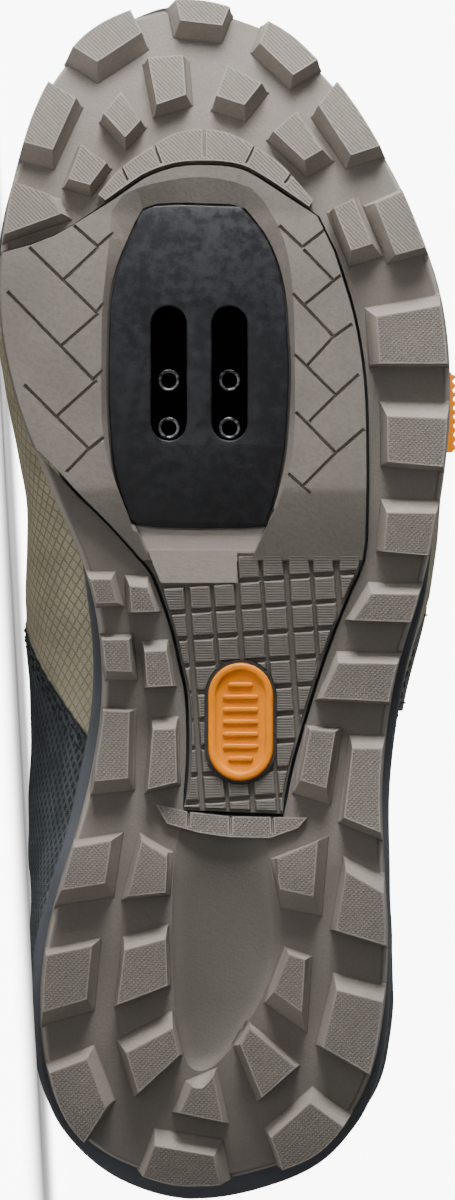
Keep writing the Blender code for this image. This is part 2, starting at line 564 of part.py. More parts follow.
def make_insert(collection, tools):
    """Central insert with pads, plate recess and arch field."""
    top = LUG_HEIGHT + OUTSOLE_THICKNESS
    body = add_object("cleat_zone", prism(insert_outline(GROOVE / 2), PAD_DROP, top,
                                          rise_stations(0.28, 0.9, 14)), collection)
    shell = add_object(
        "insert_envelope",
        prism(outline(OUTLINE_COLUMNS, EDGE_DRAFT), -0.004, top + 0.004, rise_stations(), True,
              outline(OUTLINE_COLUMNS, -EDGE_DRAFT * 0.3)), tools)
    combine(body, shell, "INTERSECT")
    # The arch field lies deeper than the pads, with a slope between them.
    reach = BALL_WIDTH * 0.7
    build = bmesh.new()
    levels = ((PAD_END[0], -0.002), (PAD_END[0], PAD_DROP), (PAD_END[1], LUG_HEIGHT - ARCH_FLOOR),
              (0.25, LUG_HEIGHT - ARCH_FLOOR), (0.25, -0.002))
    near = [build.verts.new((-reach, y * SOLE_LENGTH, z)) for y, z in levels]
    far = [build.verts.new((reach, y * SOLE_LENGTH, z)) for y, z in levels]
    build.faces.new(near)
    build.faces.new(list(reversed(far)))
    for i in range(len(levels)):
        j = (i + 1) % len(levels)
        build.faces.new((near[j], near[i], far[i], far[j]))
    for place in rise_stations(0.26, 0.62, 8):
        bmesh.ops.bisect_plane(
            build, geom=build.verts[:] + build.edges[:] + build.faces[:], dist=1e-7,
            plane_co=(0, place, 0), plane_no=(0, 1, 0))
    for vert in build.verts:
        vert.co = bend(*vert.co)
    combine(body, add_object("arch_cut", build, tools), "DIFFERENCE")
    recess = add_object(
        "plate_recess", prism(plate_outline(-PLATE_GAP), -0.002, PLATE_DROP + PLATE_THICKNESS + JOINT_GAP,
                              rise_stations(0.5, 0.86, 6)), tools)
    combine(body, recess, "DIFFERENCE")
    apply_modifiers(body)
    clean(body)
    return body


def make_plate(collection, tools):
    """Black cleat plate with two slots."""
    plate = add_object("cleat_plate", prism(plate_outline(0.0), PLATE_DROP, PLATE_DROP + PLATE_THICKNESS,
                                            rise_stations(0.5, 0.86, 6)), collection)
    for side in (1, -1):
        slot = add_object("slot_cut", prism(slot_outline(side), -0.002, LUG_HEIGHT, ()), tools)
        combine(plate, slot, "DIFFERENCE")
    apply_modifiers(plate)
    clean(plate)
    return plate


def make_nut(name, side, end, collection, tools):
    """Threaded nut standing in a slot."""
    x = SLOT_ACROSS * BALL_WIDTH + side * BOLT_SPACING / 2
    y = SLOT_MIDDLE * SOLE_LENGTH - BOLT_SETBACK + end * BOLT_PITCH / 2
    low = PLATE_DROP + 0.3 * PLATE_THICKNESS
    high = PLATE_DROP + PLATE_THICKNESS
    base = ground_rise(y)[0]
    rings = []
    for radius in (NUT_DIAMETER / 2, NUT_BORE / 2):
        turns = [2 * math.pi * i / 20 for i in range(20)]
        rings.append([(x + radius * math.cos(turn), y + radius * math.sin(turn)) for turn in turns])
    build = bmesh.new()
    loops = []
    for ring, level in ((rings[0], low), (rings[0], high), (rings[1], high), (rings[1], low)):
        loops.append([build.verts.new((px, py, base + level)) for px, py in ring])
    for k in range(4):
        a, b = loops[k], loops[(k + 1) % 4]
        for i in range(20):
            j = (i + 1) % 20
            build.faces.new((a[i], a[j], b[j], b[i]))
    return add_object(name, build, collection)


def make_badge(collection):
    """Plain insert in the arch, with round ends."""
    x = BADGE_PLACE[1] * BALL_WIDTH
    y = BADGE_PLACE[0] * SOLE_LENGTH
    loop = []
    half = BADGE_LENGTH / 2 - BADGE_WIDTH / 2
    for end in (1, -1):
        for i in range(9):
            turn = math.pi * i / 8 + (0 if end > 0 else math.pi)
            loop.append((x + BADGE_WIDTH / 2 * math.cos(turn),
                         y + end * half + BADGE_WIDTH / 2 * math.sin(turn)))
    face = LUG_HEIGHT - ARCH_FLOOR - JOINT_GAP
    return add_object("arch_badge", prism(loop, face - BADGE_HEIGHT, face, rise_stations(0.3, 0.48, 8)),
                      collection)


def make_midsole(collection):
    """Midsole with two ribs around its side."""
    base = midsole_base()
    levels = ((0.0, 0.6), (0.12, 0.0), (0.34, 0.0), (0.42, 1.0), (0.50, 0.0), (0.78, 0.0), (0.86, 1.0),
              (1.0, 1.0))
    build = bmesh.new()
    rings = []
    for share, inwards in levels:
        ring = []
        for x, y in outline(OUTLINE_COLUMNS, inwards * MIDSOLE_RIB, True):
            ring.append(build.verts.new(bend(x, y, base + share * midsole_thickness(y))))
        rings.append(ring)
    count = len(rings[0])
    for low, high in zip(rings, rings[1:]):
        for i in range(count):
            j = (i + 1) % count
            build.faces.new((low[i], low[j], high[j], high[i]))
    # Each cap is closed by strips from one side to the other.
    half = OUTLINE_COLUMNS
    for ring in (rings[0], rings[-1]):
        for i in range(half):
            a, b = ring[i], ring[i + 1]
            c, d = ring[(count - i - 1) % count], ring[(count - i) % count]
            corners = []
            for vert in (a, b, c, d):
                if vert not in corners:
                    corners.append(vert)
            build.faces.new(corners)
    bmesh.ops.triangulate(build, faces=build.faces)
    return add_object("midsole", build, collection)


def make_upper(collection):
    """Hollow upper, open underneath, at the throat and at the collar."""
    build = bmesh.new()
    ribs = []
    for i in range(UPPER_COLUMNS + 1):
        ribs.append((i / UPPER_COLUMNS, 1))
    for i in range(UPPER_COLUMNS - 1, 0, -1):
        ribs.append((i / UPPER_COLUMNS, -1))
    rows = []
    for around, side in ribs:
        rows.append([build.verts.new(upper_point(around, side, j / UPPER_ROWS))
                     for j in range(UPPER_ROWS + 1)])
    for i in range(len(rows)):
        near, far = rows[i], rows[(i + 1) % len(rows)]
        for j in range(UPPER_ROWS):
            build.faces.new((near[j], far[j], far[j + 1], near[j + 1]))
    upper = add_object("upper", build, collection)
    solid = upper.modifiers.new("wall", "SOLIDIFY")
    solid.thickness = WALL
    solid.offset = -1.0
    solid.use_even_offset = True
    solid.use_rim = True
    apply_modifiers(upper)
    clean(upper)
    return upper


def make_insole(collection):
    """Insole inside the upper."""
    inset = UPPER_INSET * BALL_WIDTH + WALL * 1.35 + JOINT_GAP
    loops = outline(OUTLINE_COLUMNS, inset, True)
    build = bmesh.new()
    rings = []
    for lift in (JOINT_GAP, JOINT_GAP + INSOLE_THICKNESS):
        rings.append([build.verts.new(bend(x, y, footbed(y) + lift)) for x, y in loops])
    count = len(loops)
    for i in range(count):
        j = (i + 1) % count
        build.faces.new((rings[0][i], rings[0][j], rings[1][j], rings[1][i]))
    for ring in rings:
        for i in range(OUTLINE_COLUMNS):
            corners = []
            for vert in (ring[i], ring[i + 1], ring[(count - i - 1) % count], ring[(count - i) % count]):
                if vert not in corners:
                    corners.append(vert)
            build.faces.new(corners)
    bmesh.ops.triangulate(build, faces=build.faces)
    return add_object("insole", build, collection)


def sheet(rows, thickness, name, collection, offset):
    """Give a grid of points a thickness."""
    build = bmesh.new()
    grid = [[build.verts.new(point) for point in row] for row in rows]
    for near, far in zip(grid, grid[1:]):
        for i in range(len(near) - 1):
            build.faces.new((near[i], near[i + 1], far[i + 1], far[i]))
    mesh = bpy.data.meshes.new(name)
    build.to_mesh(mesh)
    build.free()
    made = bpy.data.objects.new(name, mesh)
    collection.objects.link(made)
    solid = made.modifiers.new("thickness", "SOLIDIFY")
    solid.thickness = thickness
    solid.offset = offset
    apply_modifiers(made)
    clean(made)
    return made


def tongue_rows():
    """Rows of the tongue's outer face from its front to its free end, inside the rim of the throat."""
    rows = []
    first = UPPER_COLUMNS - 3
    for k in range(first - UPPER_COLUMNS // 2):
        around = (first - k) / UPPER_COLUMNS
        rims = [upper_point(around, side, 1.0) - upper_normal(around, side, 1.0) * WALL for side in (1, -1)]
        edges = [rims[0] - Vector((TONGUE_CLEARANCE, 0, 0)), rims[1] + Vector((TONGUE_CLEARANCE, 0, 0))]
        middle = (edges[0] + edges[1]) / 2
        raised = Vector((0, 0, TONGUE_CROWN + WALL / 2))
        crown = middle + raised
        quarters = [edge * 0.5 + middle * 0.5 + raised * 0.75 for edge in edges]
        rows.append([edges[0], quarters[0], crown, quarters[1], edges[1]])
    last, before = rows[-1], rows[-2]
    for step, narrow in ((1, 0.90), (2, 0.86), (3, 0.74)):
        way = (last[2] - before[2]).normalized()
        grown = []
        for a in last:
            move = a + way * TONGUE_RISE * step / 2
            move.x = last[2].x + (a.x - last[2].x) * narrow
            grown.append(move)
        rows.append(grown)
    return rows


def strap_rows(place, width, low_medial, low_lateral, lift):
    """Rows of a strap's inner face from the lateral end over the instep to the medial end."""
    stations = []
    steps = 12
    for i in range(steps + 1):
        stations.append((-1, low_lateral + (1.0 - low_lateral) * i / steps))
    for i in range(steps + 1):
        stations.append((1, 1.0 - (1.0 - low_medial) * i / steps))
    rows = []
    for side, up in stations:
        row = [upper_at(place + width * share, side, up, lift) for share in (-0.5, -0.25, 0.0, 0.25, 0.5)]
        rows.append(row)
    bridge = []
    for share, raised in ((0.15, 0.80), (0.5, 1.0), (0.85, 0.80)):
        row = []
        for a, b in zip(rows[steps], rows[steps + 1]):
            row.append(a.lerp(b, share) + Vector((0, 0, (TONGUE_CROWN + 3 * STRAP_EASE) * raised)))
        bridge.append(row)
    return rows[:steps + 1] + bridge + rows[steps + 1:]


def make_tab(strap_edge, collection):
    """Ribbed pull tab on the end of the forefoot strap."""
    a, b, out, down = strap_edge
    middle = (a + b) / 2
    along = (b - a).normalized()
    out = (out - along * out.dot(along)).normalized()
    reach = (down - along * down.dot(along) - out * down.dot(out)).normalized()
    build = bmesh.new()
    ribs = 6
    levels = []
    for i in range(ribs * 2 + 1):
        share = i / (ribs * 2)
        levels.append((share * TAB_REACH - TAB_REACH * 0.55, TAB_THICKNESS * (1.0 if i % 2 else 0.72)))
    rings = []
    for distance, thick in levels:
        ring = []
        for sign, level in ((-1, 0.0), (1, 0.0), (1, thick), (-1, thick)):
            ring.append(build.verts.new(middle + along * sign * TAB_LENGTH / 2 + reach * distance
                                        + out * (JOINT_GAP + level)))
        rings.append(ring)
    for near, far in zip(rings, rings[1:]):
        for i in range(4):
            j = (i + 1) % 4
            build.faces.new((near[i], near[j], far[j], far[i]))
    build.faces.new(list(reversed(rings[0])))
    build.faces.new(rings[-1])
    return add_object("pull_tab", build, collection)


def rest_turn(pieces, centre):
    """Turn that lays the shoe on its medial side: the hull facet under its weight faces down."""
    hull = bmesh.new()
    for piece in pieces:
        for vert in piece.data.vertices:
            hull.verts.new(vert.co)
    result = bmesh.ops.convex_hull(hull, input=hull.verts)
    faces = [item for item in result["geom"] if isinstance(item, bmesh.types.BMFace)]
    hull.normal_update()
    best = None
    for face in faces:
        normal = face.normal
        if normal.dot(face.calc_center_median() - centre) < 0:
            normal = -normal
        if normal.x < 0.8:
            continue
        distance = (face.verts[0].co - centre).dot(normal)
        foot = centre + normal * distance
        corners = [vert.co for vert in face.verts]
        signs = []
        for i, here in enumerate(corners):
            after = corners[(i + 1) % len(corners)]
            signs.append((after - here).cross(foot - here).dot(normal))
        inside = min(signs) >= 0 or max(signs) <= 0
        if inside and (best is None or distance < best[0]):
            best = (distance, normal.copy())
    hull.free()
    laid = Matrix(((0, -1, 0), (0, 0, 1), (-1, 0, 0)))
    down = laid @ (best[1] if best else Vector((1, 0, 0)))
    return down.rotation_difference(Vector((0, 0, -1))).to_matrix() @ laid


def volume_centre(piece):
    """Volume of a closed piece and its centre."""
    build = bmesh.new()
    build.from_mesh(piece.data)
    bmesh.ops.triangulate(build, faces=build.faces)
    total = 0.0
    centre = Vector()
    for face in build.faces:
        a, b, c = [vert.co for vert in face.verts]
        part = a.dot(b.cross(c)) / 6
        total += part
        centre += (a + b + c) / 4 * part
    build.free()
    return total, centre / total


def main():
    """Build every piece and lay the shoe down."""
    for item in list(bpy.data.objects):
        bpy.data.objects.remove(item)
    scene_collection = bpy.context.scene.collection
    tools = bpy.data.collections.new("cutters")
    scene_collection.children.link(tools)
    rubber = material("sole_rubber", (0.30, 0.26, 0.23), 0.65)
    insert_rubber = material("insert_rubber", (0.30, 0.26, 0.23), 0.65)
    plastic = material("plate_plastic", (0.03, 0.03, 0.035), 0.45)
    steel = material("nut_steel", (0.45, 0.45, 0.45), 0.3, 1.0)
    amber = material("amber_plastic", (0.78, 0.31, 0.01), 0.4)
    foam = material("midsole_foam", (0.06, 0.065, 0.075), 0.7)
    cloth = material("upper_cloth", (0.24, 0.22, 0.15), 0.85)
    lining = material("insole_cloth", (0.05, 0.05, 0.05), 0.9)
    tongue_cloth = material("tongue_cloth", (0.04, 0.045, 0.05), 0.85)
    webbing = material("strap_webbing", (0.02, 0.02, 0.022), 0.6)
    pieces = []

    def keep(piece, surface, kind):
        piece.data.materials.clear()
        piece.data.materials.append(surface)
        pieces.append((piece, DENSITY[kind]))
        return piece

    keep(make_outsole(scene_collection, tools), rubber, "rubber")
    keep(make_insert(scene_collection, tools), insert_rubber, "rubber")
    keep(make_plate(scene_collection, tools), plastic, "plastic")
    number = 1
    for side in (1, -1):
        for end in (1, -1):
            keep(make_nut("cleat_nut_%d" % number, side, end, scene_collection, tools), steel, "steel")
            number += 1
    keep(make_badge(scene_collection), amber, "plastic")
    keep(make_midsole(scene_collection), foam, "foam")
    keep(make_upper(scene_collection), cloth, "cloth")
    keep(make_insole(scene_collection), lining, "foam")
    keep(sheet(tongue_rows(), TONGUE_THICKNESS, "tongue", scene_collection, -1.0), tongue_cloth, "cloth")
    lift = JOINT_GAP + STRAP_EASE
    fore = strap_rows(FORE_STRAP_PLACE * SOLE_LENGTH, FORE_STRAP_WIDTH, 0.60, 0.22, lift)
    keep(sheet(fore, STRAP_THICKNESS, "forefoot_strap", scene_collection, -1.0), webbing, "cloth")
    instep = strap_rows(INSTEP_STRAP_PLACE * SOLE_LENGTH, INSTEP_STRAP_WIDTH, 0.58, 0.16, lift)
    keep(sheet(instep, STRAP_THICKNESS, "instep_strap", scene_collection, -1.0), webbing, "cloth")
    outward = upper_normal(0.60, -1, 0.25)
    end_a = fore[0][0] + outward * STRAP_THICKNESS
    end_b = fore[0][-1] + outward * STRAP_THICKNESS
    keep(make_tab((end_a, end_b, outward, fore[0][1] - fore[1][1]), scene_collection), amber, "plastic")

    total = 0.0
    centre = Vector()
    for piece, density in pieces:
        volume, middle = volume_centre(piece)
        total += abs(volume) * density
        centre += middle * abs(volume) * density
    centre /= total
    turn = rest_turn([piece for piece, _ in pieces], centre)
    low = Vector((1e9, 1e9, 1e9))
    high = -low
    for piece, _ in pieces:
        for vert in piece.data.vertices:
            spot = turn @ vert.co
            for axis in range(3):
                low[axis] = min(low[axis], spot[axis])
                high[axis] = max(high[axis], spot[axis])
    holder = bpy.data.objects.new("shoe_axes", None)
    scene_collection.objects.link(holder)
    offset = Vector((-(low.x + high.x) / 2, -(low.y + high.y) / 2, -low.z))
    holder.matrix_world = Matrix.Translation(offset) @ turn.to_4x4()
    for piece, _ in pieces:
        piece.parent = holder
    for tool in tools.all_objects:
        tool.hide_render = True
        tool.display_type = "WIRE"
    bpy.context.view_layer.update()


main()
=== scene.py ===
import math

import bmesh
import bpy
import numpy as np
from bpy.props import FloatProperty, FloatVectorProperty, PointerProperty
from mathutils import Matrix, Vector


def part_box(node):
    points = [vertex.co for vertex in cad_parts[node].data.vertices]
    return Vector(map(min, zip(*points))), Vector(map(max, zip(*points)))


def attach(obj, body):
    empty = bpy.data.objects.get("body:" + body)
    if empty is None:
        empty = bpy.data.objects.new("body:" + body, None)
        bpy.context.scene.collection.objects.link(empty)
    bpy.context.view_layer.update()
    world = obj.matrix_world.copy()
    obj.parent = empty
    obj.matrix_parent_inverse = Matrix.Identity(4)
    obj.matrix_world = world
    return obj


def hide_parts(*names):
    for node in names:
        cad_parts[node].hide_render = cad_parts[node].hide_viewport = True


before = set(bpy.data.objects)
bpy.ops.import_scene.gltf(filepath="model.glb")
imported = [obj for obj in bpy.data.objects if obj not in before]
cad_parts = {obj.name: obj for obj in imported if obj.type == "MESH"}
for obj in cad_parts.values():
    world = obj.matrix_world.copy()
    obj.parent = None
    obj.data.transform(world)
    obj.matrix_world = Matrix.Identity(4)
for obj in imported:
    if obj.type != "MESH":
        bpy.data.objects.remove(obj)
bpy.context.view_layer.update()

bl_info = {
    "name": "Mountain Cycling Shoe",
    "version": (1, 0, 0),
    "blender": (4, 5, 0),
    "location": "3D View > Sidebar > Cycling Shoe",
    "description": "Dresses a cycling shoe that lies on its medial side with its sole towards the viewer",
    "category": "Object",
}

# Sizes of the shoe, in metres. In its own axes X points to the medial side, Y to the toe and Z up.
SOLE_LENGTH = 0.2765
BALL_WIDTH = 0.1045
LUG_HEIGHT = 0.0055
EDGE_DRAFT = 0.0012
OUTSOLE_THICKNESS = 0.0035
OUTSOLE_TOP = LUG_HEIGHT + OUTSOLE_THICKNESS
MIDSOLE_HEEL = 0.0125
MIDSOLE_TOE = 0.0075
MIDSOLE_RIB = 0.0011
TOE_SPRING = 0.0170
ARCH_RISE = 0.0035
HEEL_RISE = 0.0030
JOINT_GAP = 0.0003
GROOVE = 0.0007
PAD_DROP = 0.0014
PLATE_DROP = 0.0032
PLATE_THICKNESS = 0.0014
SLOT_WIDTH = 0.0082
SLOT_LENGTH = 0.0310
BOLT_SPACING = 0.0140
BOLT_PITCH = 0.0110
BOLT_SETBACK = 0.0071
NUT_DIAMETER = 0.0050
NUT_BORE = 0.0038
BADGE_LENGTH = 0.0268
BADGE_WIDTH = 0.0150
BADGE_HEIGHT = 0.0012
WALL = 0.0022
HEEL_HEIGHT = 0.0700
INSTEP_HEIGHT = 0.0780
TOE_HEIGHT = 0.0380
INSOLE_THICKNESS = 0.0040
TONGUE_THICKNESS = 0.0040
TONGUE_CROWN = 0.0030
TONGUE_RISE = 0.0220
TONGUE_CLEARANCE = 0.0018
STRAP_THICKNESS = 0.0018
STRAP_EASE = 0.0007
FORE_STRAP_WIDTH = 0.0200
INSTEP_STRAP_WIDTH = 0.0250
TAB_LENGTH = 0.0187
TAB_REACH = 0.0110
TAB_THICKNESS = 0.0026
TAB_SINK = 0.0026
INSTEP_SINK = 0.0040
SLOT_MIDDLE = 0.6826
SLOT_ACROSS = 0.0625
ARCH_FLOOR = 0.0020
BADGE_PLACE = (0.3915, -0.0290)
FORE_STRAP_PLACE = 0.651
INSTEP_STRAP_PLACE = 0.441
MIDSOLE_TAIL = 0.018
UPPER_INSET = 0.008
LUG_ROOT = 0.4 * OUTSOLE_THICKNESS
TOE_STRIP_HEIGHT = 0.0030
HEEL_STRIP_HEIGHT = 0.0018
THREAD_PITCH = 0.00052
# Distance between the cuts that let a flat piece bend with the sole.
SLICE = 0.0055
# What the camera looks at: metres from the heel, lean towards the toe, and its lowest height.
VIEW_MIDDLE = 0.1365
VIEW_LEAN = 0.020
CAMERA_LOWEST = 0.004

# Open fault, also named in report.md: SOLE_EDGE, LUGS, the three INSERT tables, PLATE_EDGE, RECESS_EDGE, the
# two strips, SCOOP, PAD_CUTS and the ticks came out of scratch scripts that turned readings of the photo into
# shares or millimetres. Some rows were changed afterwards. MIDSOLE_EDGE probably came in part from such
# readings too.

# Edge of the outsole from heel to toe, as shares of the ball width: medial, lateral.
SOLE_EDGE = (
    (0.085, 0.062), (0.172, -0.052), (0.278, -0.188), (0.359, -0.267), (0.399, -0.319),
    (0.416, -0.347), (0.404, -0.357), (0.360, -0.349), (0.306, -0.345), (0.279, -0.371),
    (0.304, -0.431), (0.384, -0.473), (0.464, -0.493), (0.504, -0.483), (0.501, -0.438),
    (0.474, -0.372), (0.434, -0.296), (0.376, -0.211), (0.301, -0.122), (0.197, -0.006),
    (0.107, 0.085),
)
# How far the midsole stands past it: medial, lateral.
MIDSOLE_EDGE = (
    (0.000, 0.000), (0.018, 0.018), (0.014, 0.014), (0.008, 0.012), (0.012, 0.012),
    (0.014, 0.010), (0.024, 0.005), (0.024, 0.012), (0.027, 0.016), (0.020, 0.018),
    (0.009, 0.010), (-0.030, -0.014), (-0.036, -0.032), (-0.036, -0.036), (-0.036, -0.036),
    (-0.036, -0.036), (-0.036, -0.036), (-0.034, -0.034), (-0.030, -0.030), (-0.020, -0.020),
    (0.000, 0.000),
)
# Rise of the underside: place, toe spring, arch, heel.
RISE = (
    (0.00, 0.00, 0.0, 1.00), (0.05, 0.00, 0.0, 0.22), (0.10, 0.00, 0.0, 0.0), (0.26, 0.00, 0.0, 0.0),
    (0.33, 0.00, 0.6, 0.0), (0.41, 0.00, 1.0, 0.0), (0.50, 0.00, 0.5, 0.0), (0.58, 0.00, 0.0, 0.0),
    (0.76, 0.00, 0.0, 0.0), (0.83, 0.12, 0.0, 0.0), (0.90, 0.38, 0.0, 0.0), (0.96, 0.74, 0.0, 0.0),
    (1.00, 1.00, 0.0, 0.0), (1.04, 1.25, 0.0, 0.0),
)
# Lugs: ahead, across, long, turn, fore wide, fore turn, aft wide, aft turn,
# and the slope of the wall on the fore, aft, medial and lateral side.
LUGS = (
    (0.991, 0.055, 0.075, -5, 0.139, 1, 0.094, -2, 0.1, 0.4, 0.4, 0.1),
    (0.969, 0.271, 0.093, 43, 0.172, -11, 0.119, -9, 0.1, 0.5, 0.5, 0.1),
    (0.898, 0.401, 0.140, -18, 0.104, -13, 0.076, 3, 0.1, 0.7, 0.1, 0.3),
    (0.822, 0.443, 0.089, 1, 0.109, -21, 0.163, 19, 0.1, 0.2, 0.1, 0.4),
    (0.930, 0.131, 0.099, 8, 0.078, -4, 0.068, 11, 0.1, 0.2, 0.2, 0.3),
    (0.922, -0.022, 0.067, -28, 0.086, 0, 0.066, 10, 0.1, 0.4, 0.1, 0.3),
    (0.898, 0.232, 0.075, 38, 0.062, 14, 0.051, 10, 0.1, 0.2, 0.2, 0.2),
    (0.854, 0.311, 0.070, -27, 0.069, -9, 0.049, 11, 0.1, 0.3, 0.2, 0.2),
    (0.879, -0.158, 0.098, 40, 0.068, 1, 0.047, -9, 0.1, 0.6, 0.3, 0.3),
    (0.806, -0.276, 0.105, 22, 0.048, 5, 0.049, -4, 0.1, 0.7, 0.3, 0.3),
    (0.960, -0.140, 0.097, -40, 0.167, 2, 0.103, -4, 0.1, 0.3, 0.4, 0.1),
    (0.896, -0.276, 0.162, 34, 0.097, 18, 0.103, -16, 0.1, 0.3, 0.4, 0.1),
    (0.809, -0.396, 0.131, 23, 0.098, 1, 0.106, -8, 0.3, 0.2, 0.5, 0.1),
    (0.713, -0.420, 0.119, 6, 0.175, 4, 0.183, -6, 0.5, 0.1, 0.5, 0.1),
    (0.626, -0.433, 0.105, -2, 0.167, 0, 0.157, -3, 0.7, 0.2, 0.3, 0.1),
    (0.549, -0.417, 0.092, -8, 0.145, 7, 0.134, 3, 0.6, 0.1, 0.3, 0.1),
    (0.487, -0.371, 0.066, -23, 0.134, 22, 0.159, 21, 0.4, 0.1, 0.3, 0.1),
    (0.425, -0.315, 0.087, -20, 0.170, 19, 0.186, 17, 0.4, 0.1, 0.2, 0.1),
    (0.362, -0.200, 0.120, -10, 0.056, 6, 0.061, -7, 0.2, 0.7, 0.2, 0.3),
    (0.336, -0.323, 0.177, -3, 0.103, 2, 0.133, -19, 0.7, 0.2, 0.2, 0.1),
    (0.501, 0.273, 0.054, 15, 0.047, -15, 0.045, -13, 0.2, 0.3, 0.2, 0.2),
    (0.494, 0.190, 0.057, 12, 0.040, -16, 0.056, -10, 0.4, 0.1, 0.2, 0.1),
    (0.447, 0.245, 0.071, 8, 0.063, -8, 0.056, -10, 0.1, 0.5, 0.1, 0.2),
    (0.436, 0.154, 0.079, 7, 0.049, -4, 0.058, -4, 0.4, 0.1, 0.1, 0.1),
    (0.372, 0.253, 0.152, -3, 0.065, 1, 0.074, 9, 0.1, 0.6, 0.1, 0.3),
    (0.362, 0.142, 0.125, -2, 0.051, 5, 0.067, 16, 0.6, 0.1, 0.1, 0.1),
    (0.267, -0.152, 0.094, 1, 0.105, 22, 0.075, -13, 0.1, 1.0, 0.1, 0.5),
    (0.232, -0.316, 0.118, -4, 0.137, -26, 0.152, -13, 0.7, 0.1, 0.2, 0.1),
    (0.177, -0.143, 0.102, -11, 0.040, -9, 0.077, -25, 0.2, 0.8, 0.2, 0.3),
    (0.133, -0.297, 0.153, -10, 0.144, -5, 0.170, -20, 0.7, 0.1, 0.3, 0.1),
    (0.110, -0.076, 0.071, -42, 0.135, 2, 0.125, -26, 0.1, 0.3, 0.5, 0.1),
    (0.041, -0.177, 0.123, 38, 0.117, 4, 0.193, -4, 0.4, 0.1, 0.2, 0.6),
    (0.013, 0.101, 0.109, -6, 0.134, -4, 0.197, 4, 0.6, 0.1, 0.2, 0.5),
    (0.077, 0.056, 0.082, -2, 0.052, 27, 0.098, -10, 0.2, 0.2, 0.3, 0.2),
    (0.077, 0.334, 0.152, 29, 0.131, -8, 0.110, 29, 0.4, 0.2, 0.1, 0.5),
    (0.176, 0.376, 0.124, -5, 0.146, 17, 0.147, 21, 0.2, 0.7, 0.1, 0.4),
    (0.185, 0.185, 0.112, -3, 0.095, 18, 0.119, 24, 0.6, 0.1, 0.1, 0.1),
    (0.112, 0.162, 0.077, 15, 0.117, 13, 0.123, 28, 0.7, 0.1, 0.3, 0.1),
    (0.271, 0.328, 0.096, -12, 0.125, 22, 0.138, 21, 0.4, 0.8, 0.1, 0.5),
    (0.267, 0.170, 0.102, -10, 0.068, -22, 0.085, 16, 0.4, 0.2, 0.2, 0.2),
)
# Edge of the central insert: ahead, across.
INSERT_TOE = (
    (0.779, 0.560), (0.797, 0.397), (0.823, 0.286), (0.841, 0.219), (0.852, 0.174), (0.860, 0.107),
    (0.861, 0.030), (0.858, -0.027), (0.850, -0.071), (0.833, -0.138), (0.816, -0.201),
)
INSERT_LATERAL = (
    (0.785, -0.239), (0.738, -0.277), (0.705, -0.295), (0.671, -0.306), (0.629, -0.310), (0.578, -0.310),
    (0.527, -0.304), (0.498, -0.272), (0.451, -0.223), (0.401, -0.179), (0.354, -0.143), (0.315, -0.123),
)
INSERT_MEDIAL = (
    (0.318, 0.098), (0.359, 0.089), (0.392, 0.089), (0.418, 0.094), (0.439, 0.107), (0.468, 0.125),
    (0.509, 0.163), (0.526, 0.196), (0.555, 0.263), (0.581, 0.330), (0.624, 0.442), (0.640, 0.560),
)
PLATE_EDGE = (
    (0.824, 0.168), (0.802, 0.208), (0.772, 0.241), (0.738, 0.259), (0.679, 0.263), (0.645, 0.261),
    (0.603, 0.250), (0.570, 0.225), (0.554, 0.185), (0.553, -0.067), (0.561, -0.089), (0.586, -0.109),
    (0.620, -0.127), (0.679, -0.136), (0.713, -0.132), (0.747, -0.125), (0.779, -0.105), (0.802, -0.076),
    (0.824, -0.030),
)
# The next tables are in millimetres: across, ahead.
RECESS_EDGE = (
    (26.4, 228.6), (27.1, 223.3), (28.2, 211.1), (28.9, 204.1), (29.2, 187.8), (28.7, 173.8), (25.7, 163.3),
    (21.7, 154.0), (17.2, 144.6), (-4.0, 144.0), (-9.0, 152.0), (-12.8, 161.0), (-15.2, 171.5),
    (-15.6, 183.1), (-15.6, 194.8), (-15.2, 206.5), (-14.5, 213.5), (-13.3, 219.3), (-11.2, 224.0),
    (-8.4, 229.0), (-4.2, 232.6), (5.4, 234.6), (14.7, 233.6), (21.7, 231.6),
)
TOE_STRIP = (
    (29.9, 230.5), (24.7, 236.6), (17.3, 241.9), (12.6, 244.7), (5.8, 246.0), (-0.9, 244.7), (-6.3, 241.9),
    (-11.9, 238.0), (-15.2, 234.5), (-19.8, 229.1),
)
HEEL_STRIP = (
    (16.6, 89.6), (8.9, 87.9), (-0.5, 86.9), (-18.4, 86.6), (-16.3, 84.2), (-9.8, 81.9), (-0.5, 82.1),
    (6.5, 83.1), (14.0, 85.2),
)
# Heel scoop: ahead, medial edge, lateral edge, depth.
SCOOP = (
    (84.0, 14.2, -11.5, 1.2), (78.0, 14.0, -11.4, 2.1), (70.0, 14.0, -11.9, 2.7), (62.0, 14.0, -12.6, 3.0),
    (54.0, 13.8, -12.6, 3.0), (46.0, 13.5, -9.8, 2.9), (40.0, 12.8, -6.6, 2.8), (34.0, 11.6, -2.8, 2.2),
    (30.0, 10.8, 0.4, 1.4), (27.0, 10.0, 2.9, -0.3), (25.0, 9.0, 4.5, -2.8), (23.8, 7.7, 5.7, -5.2),
)
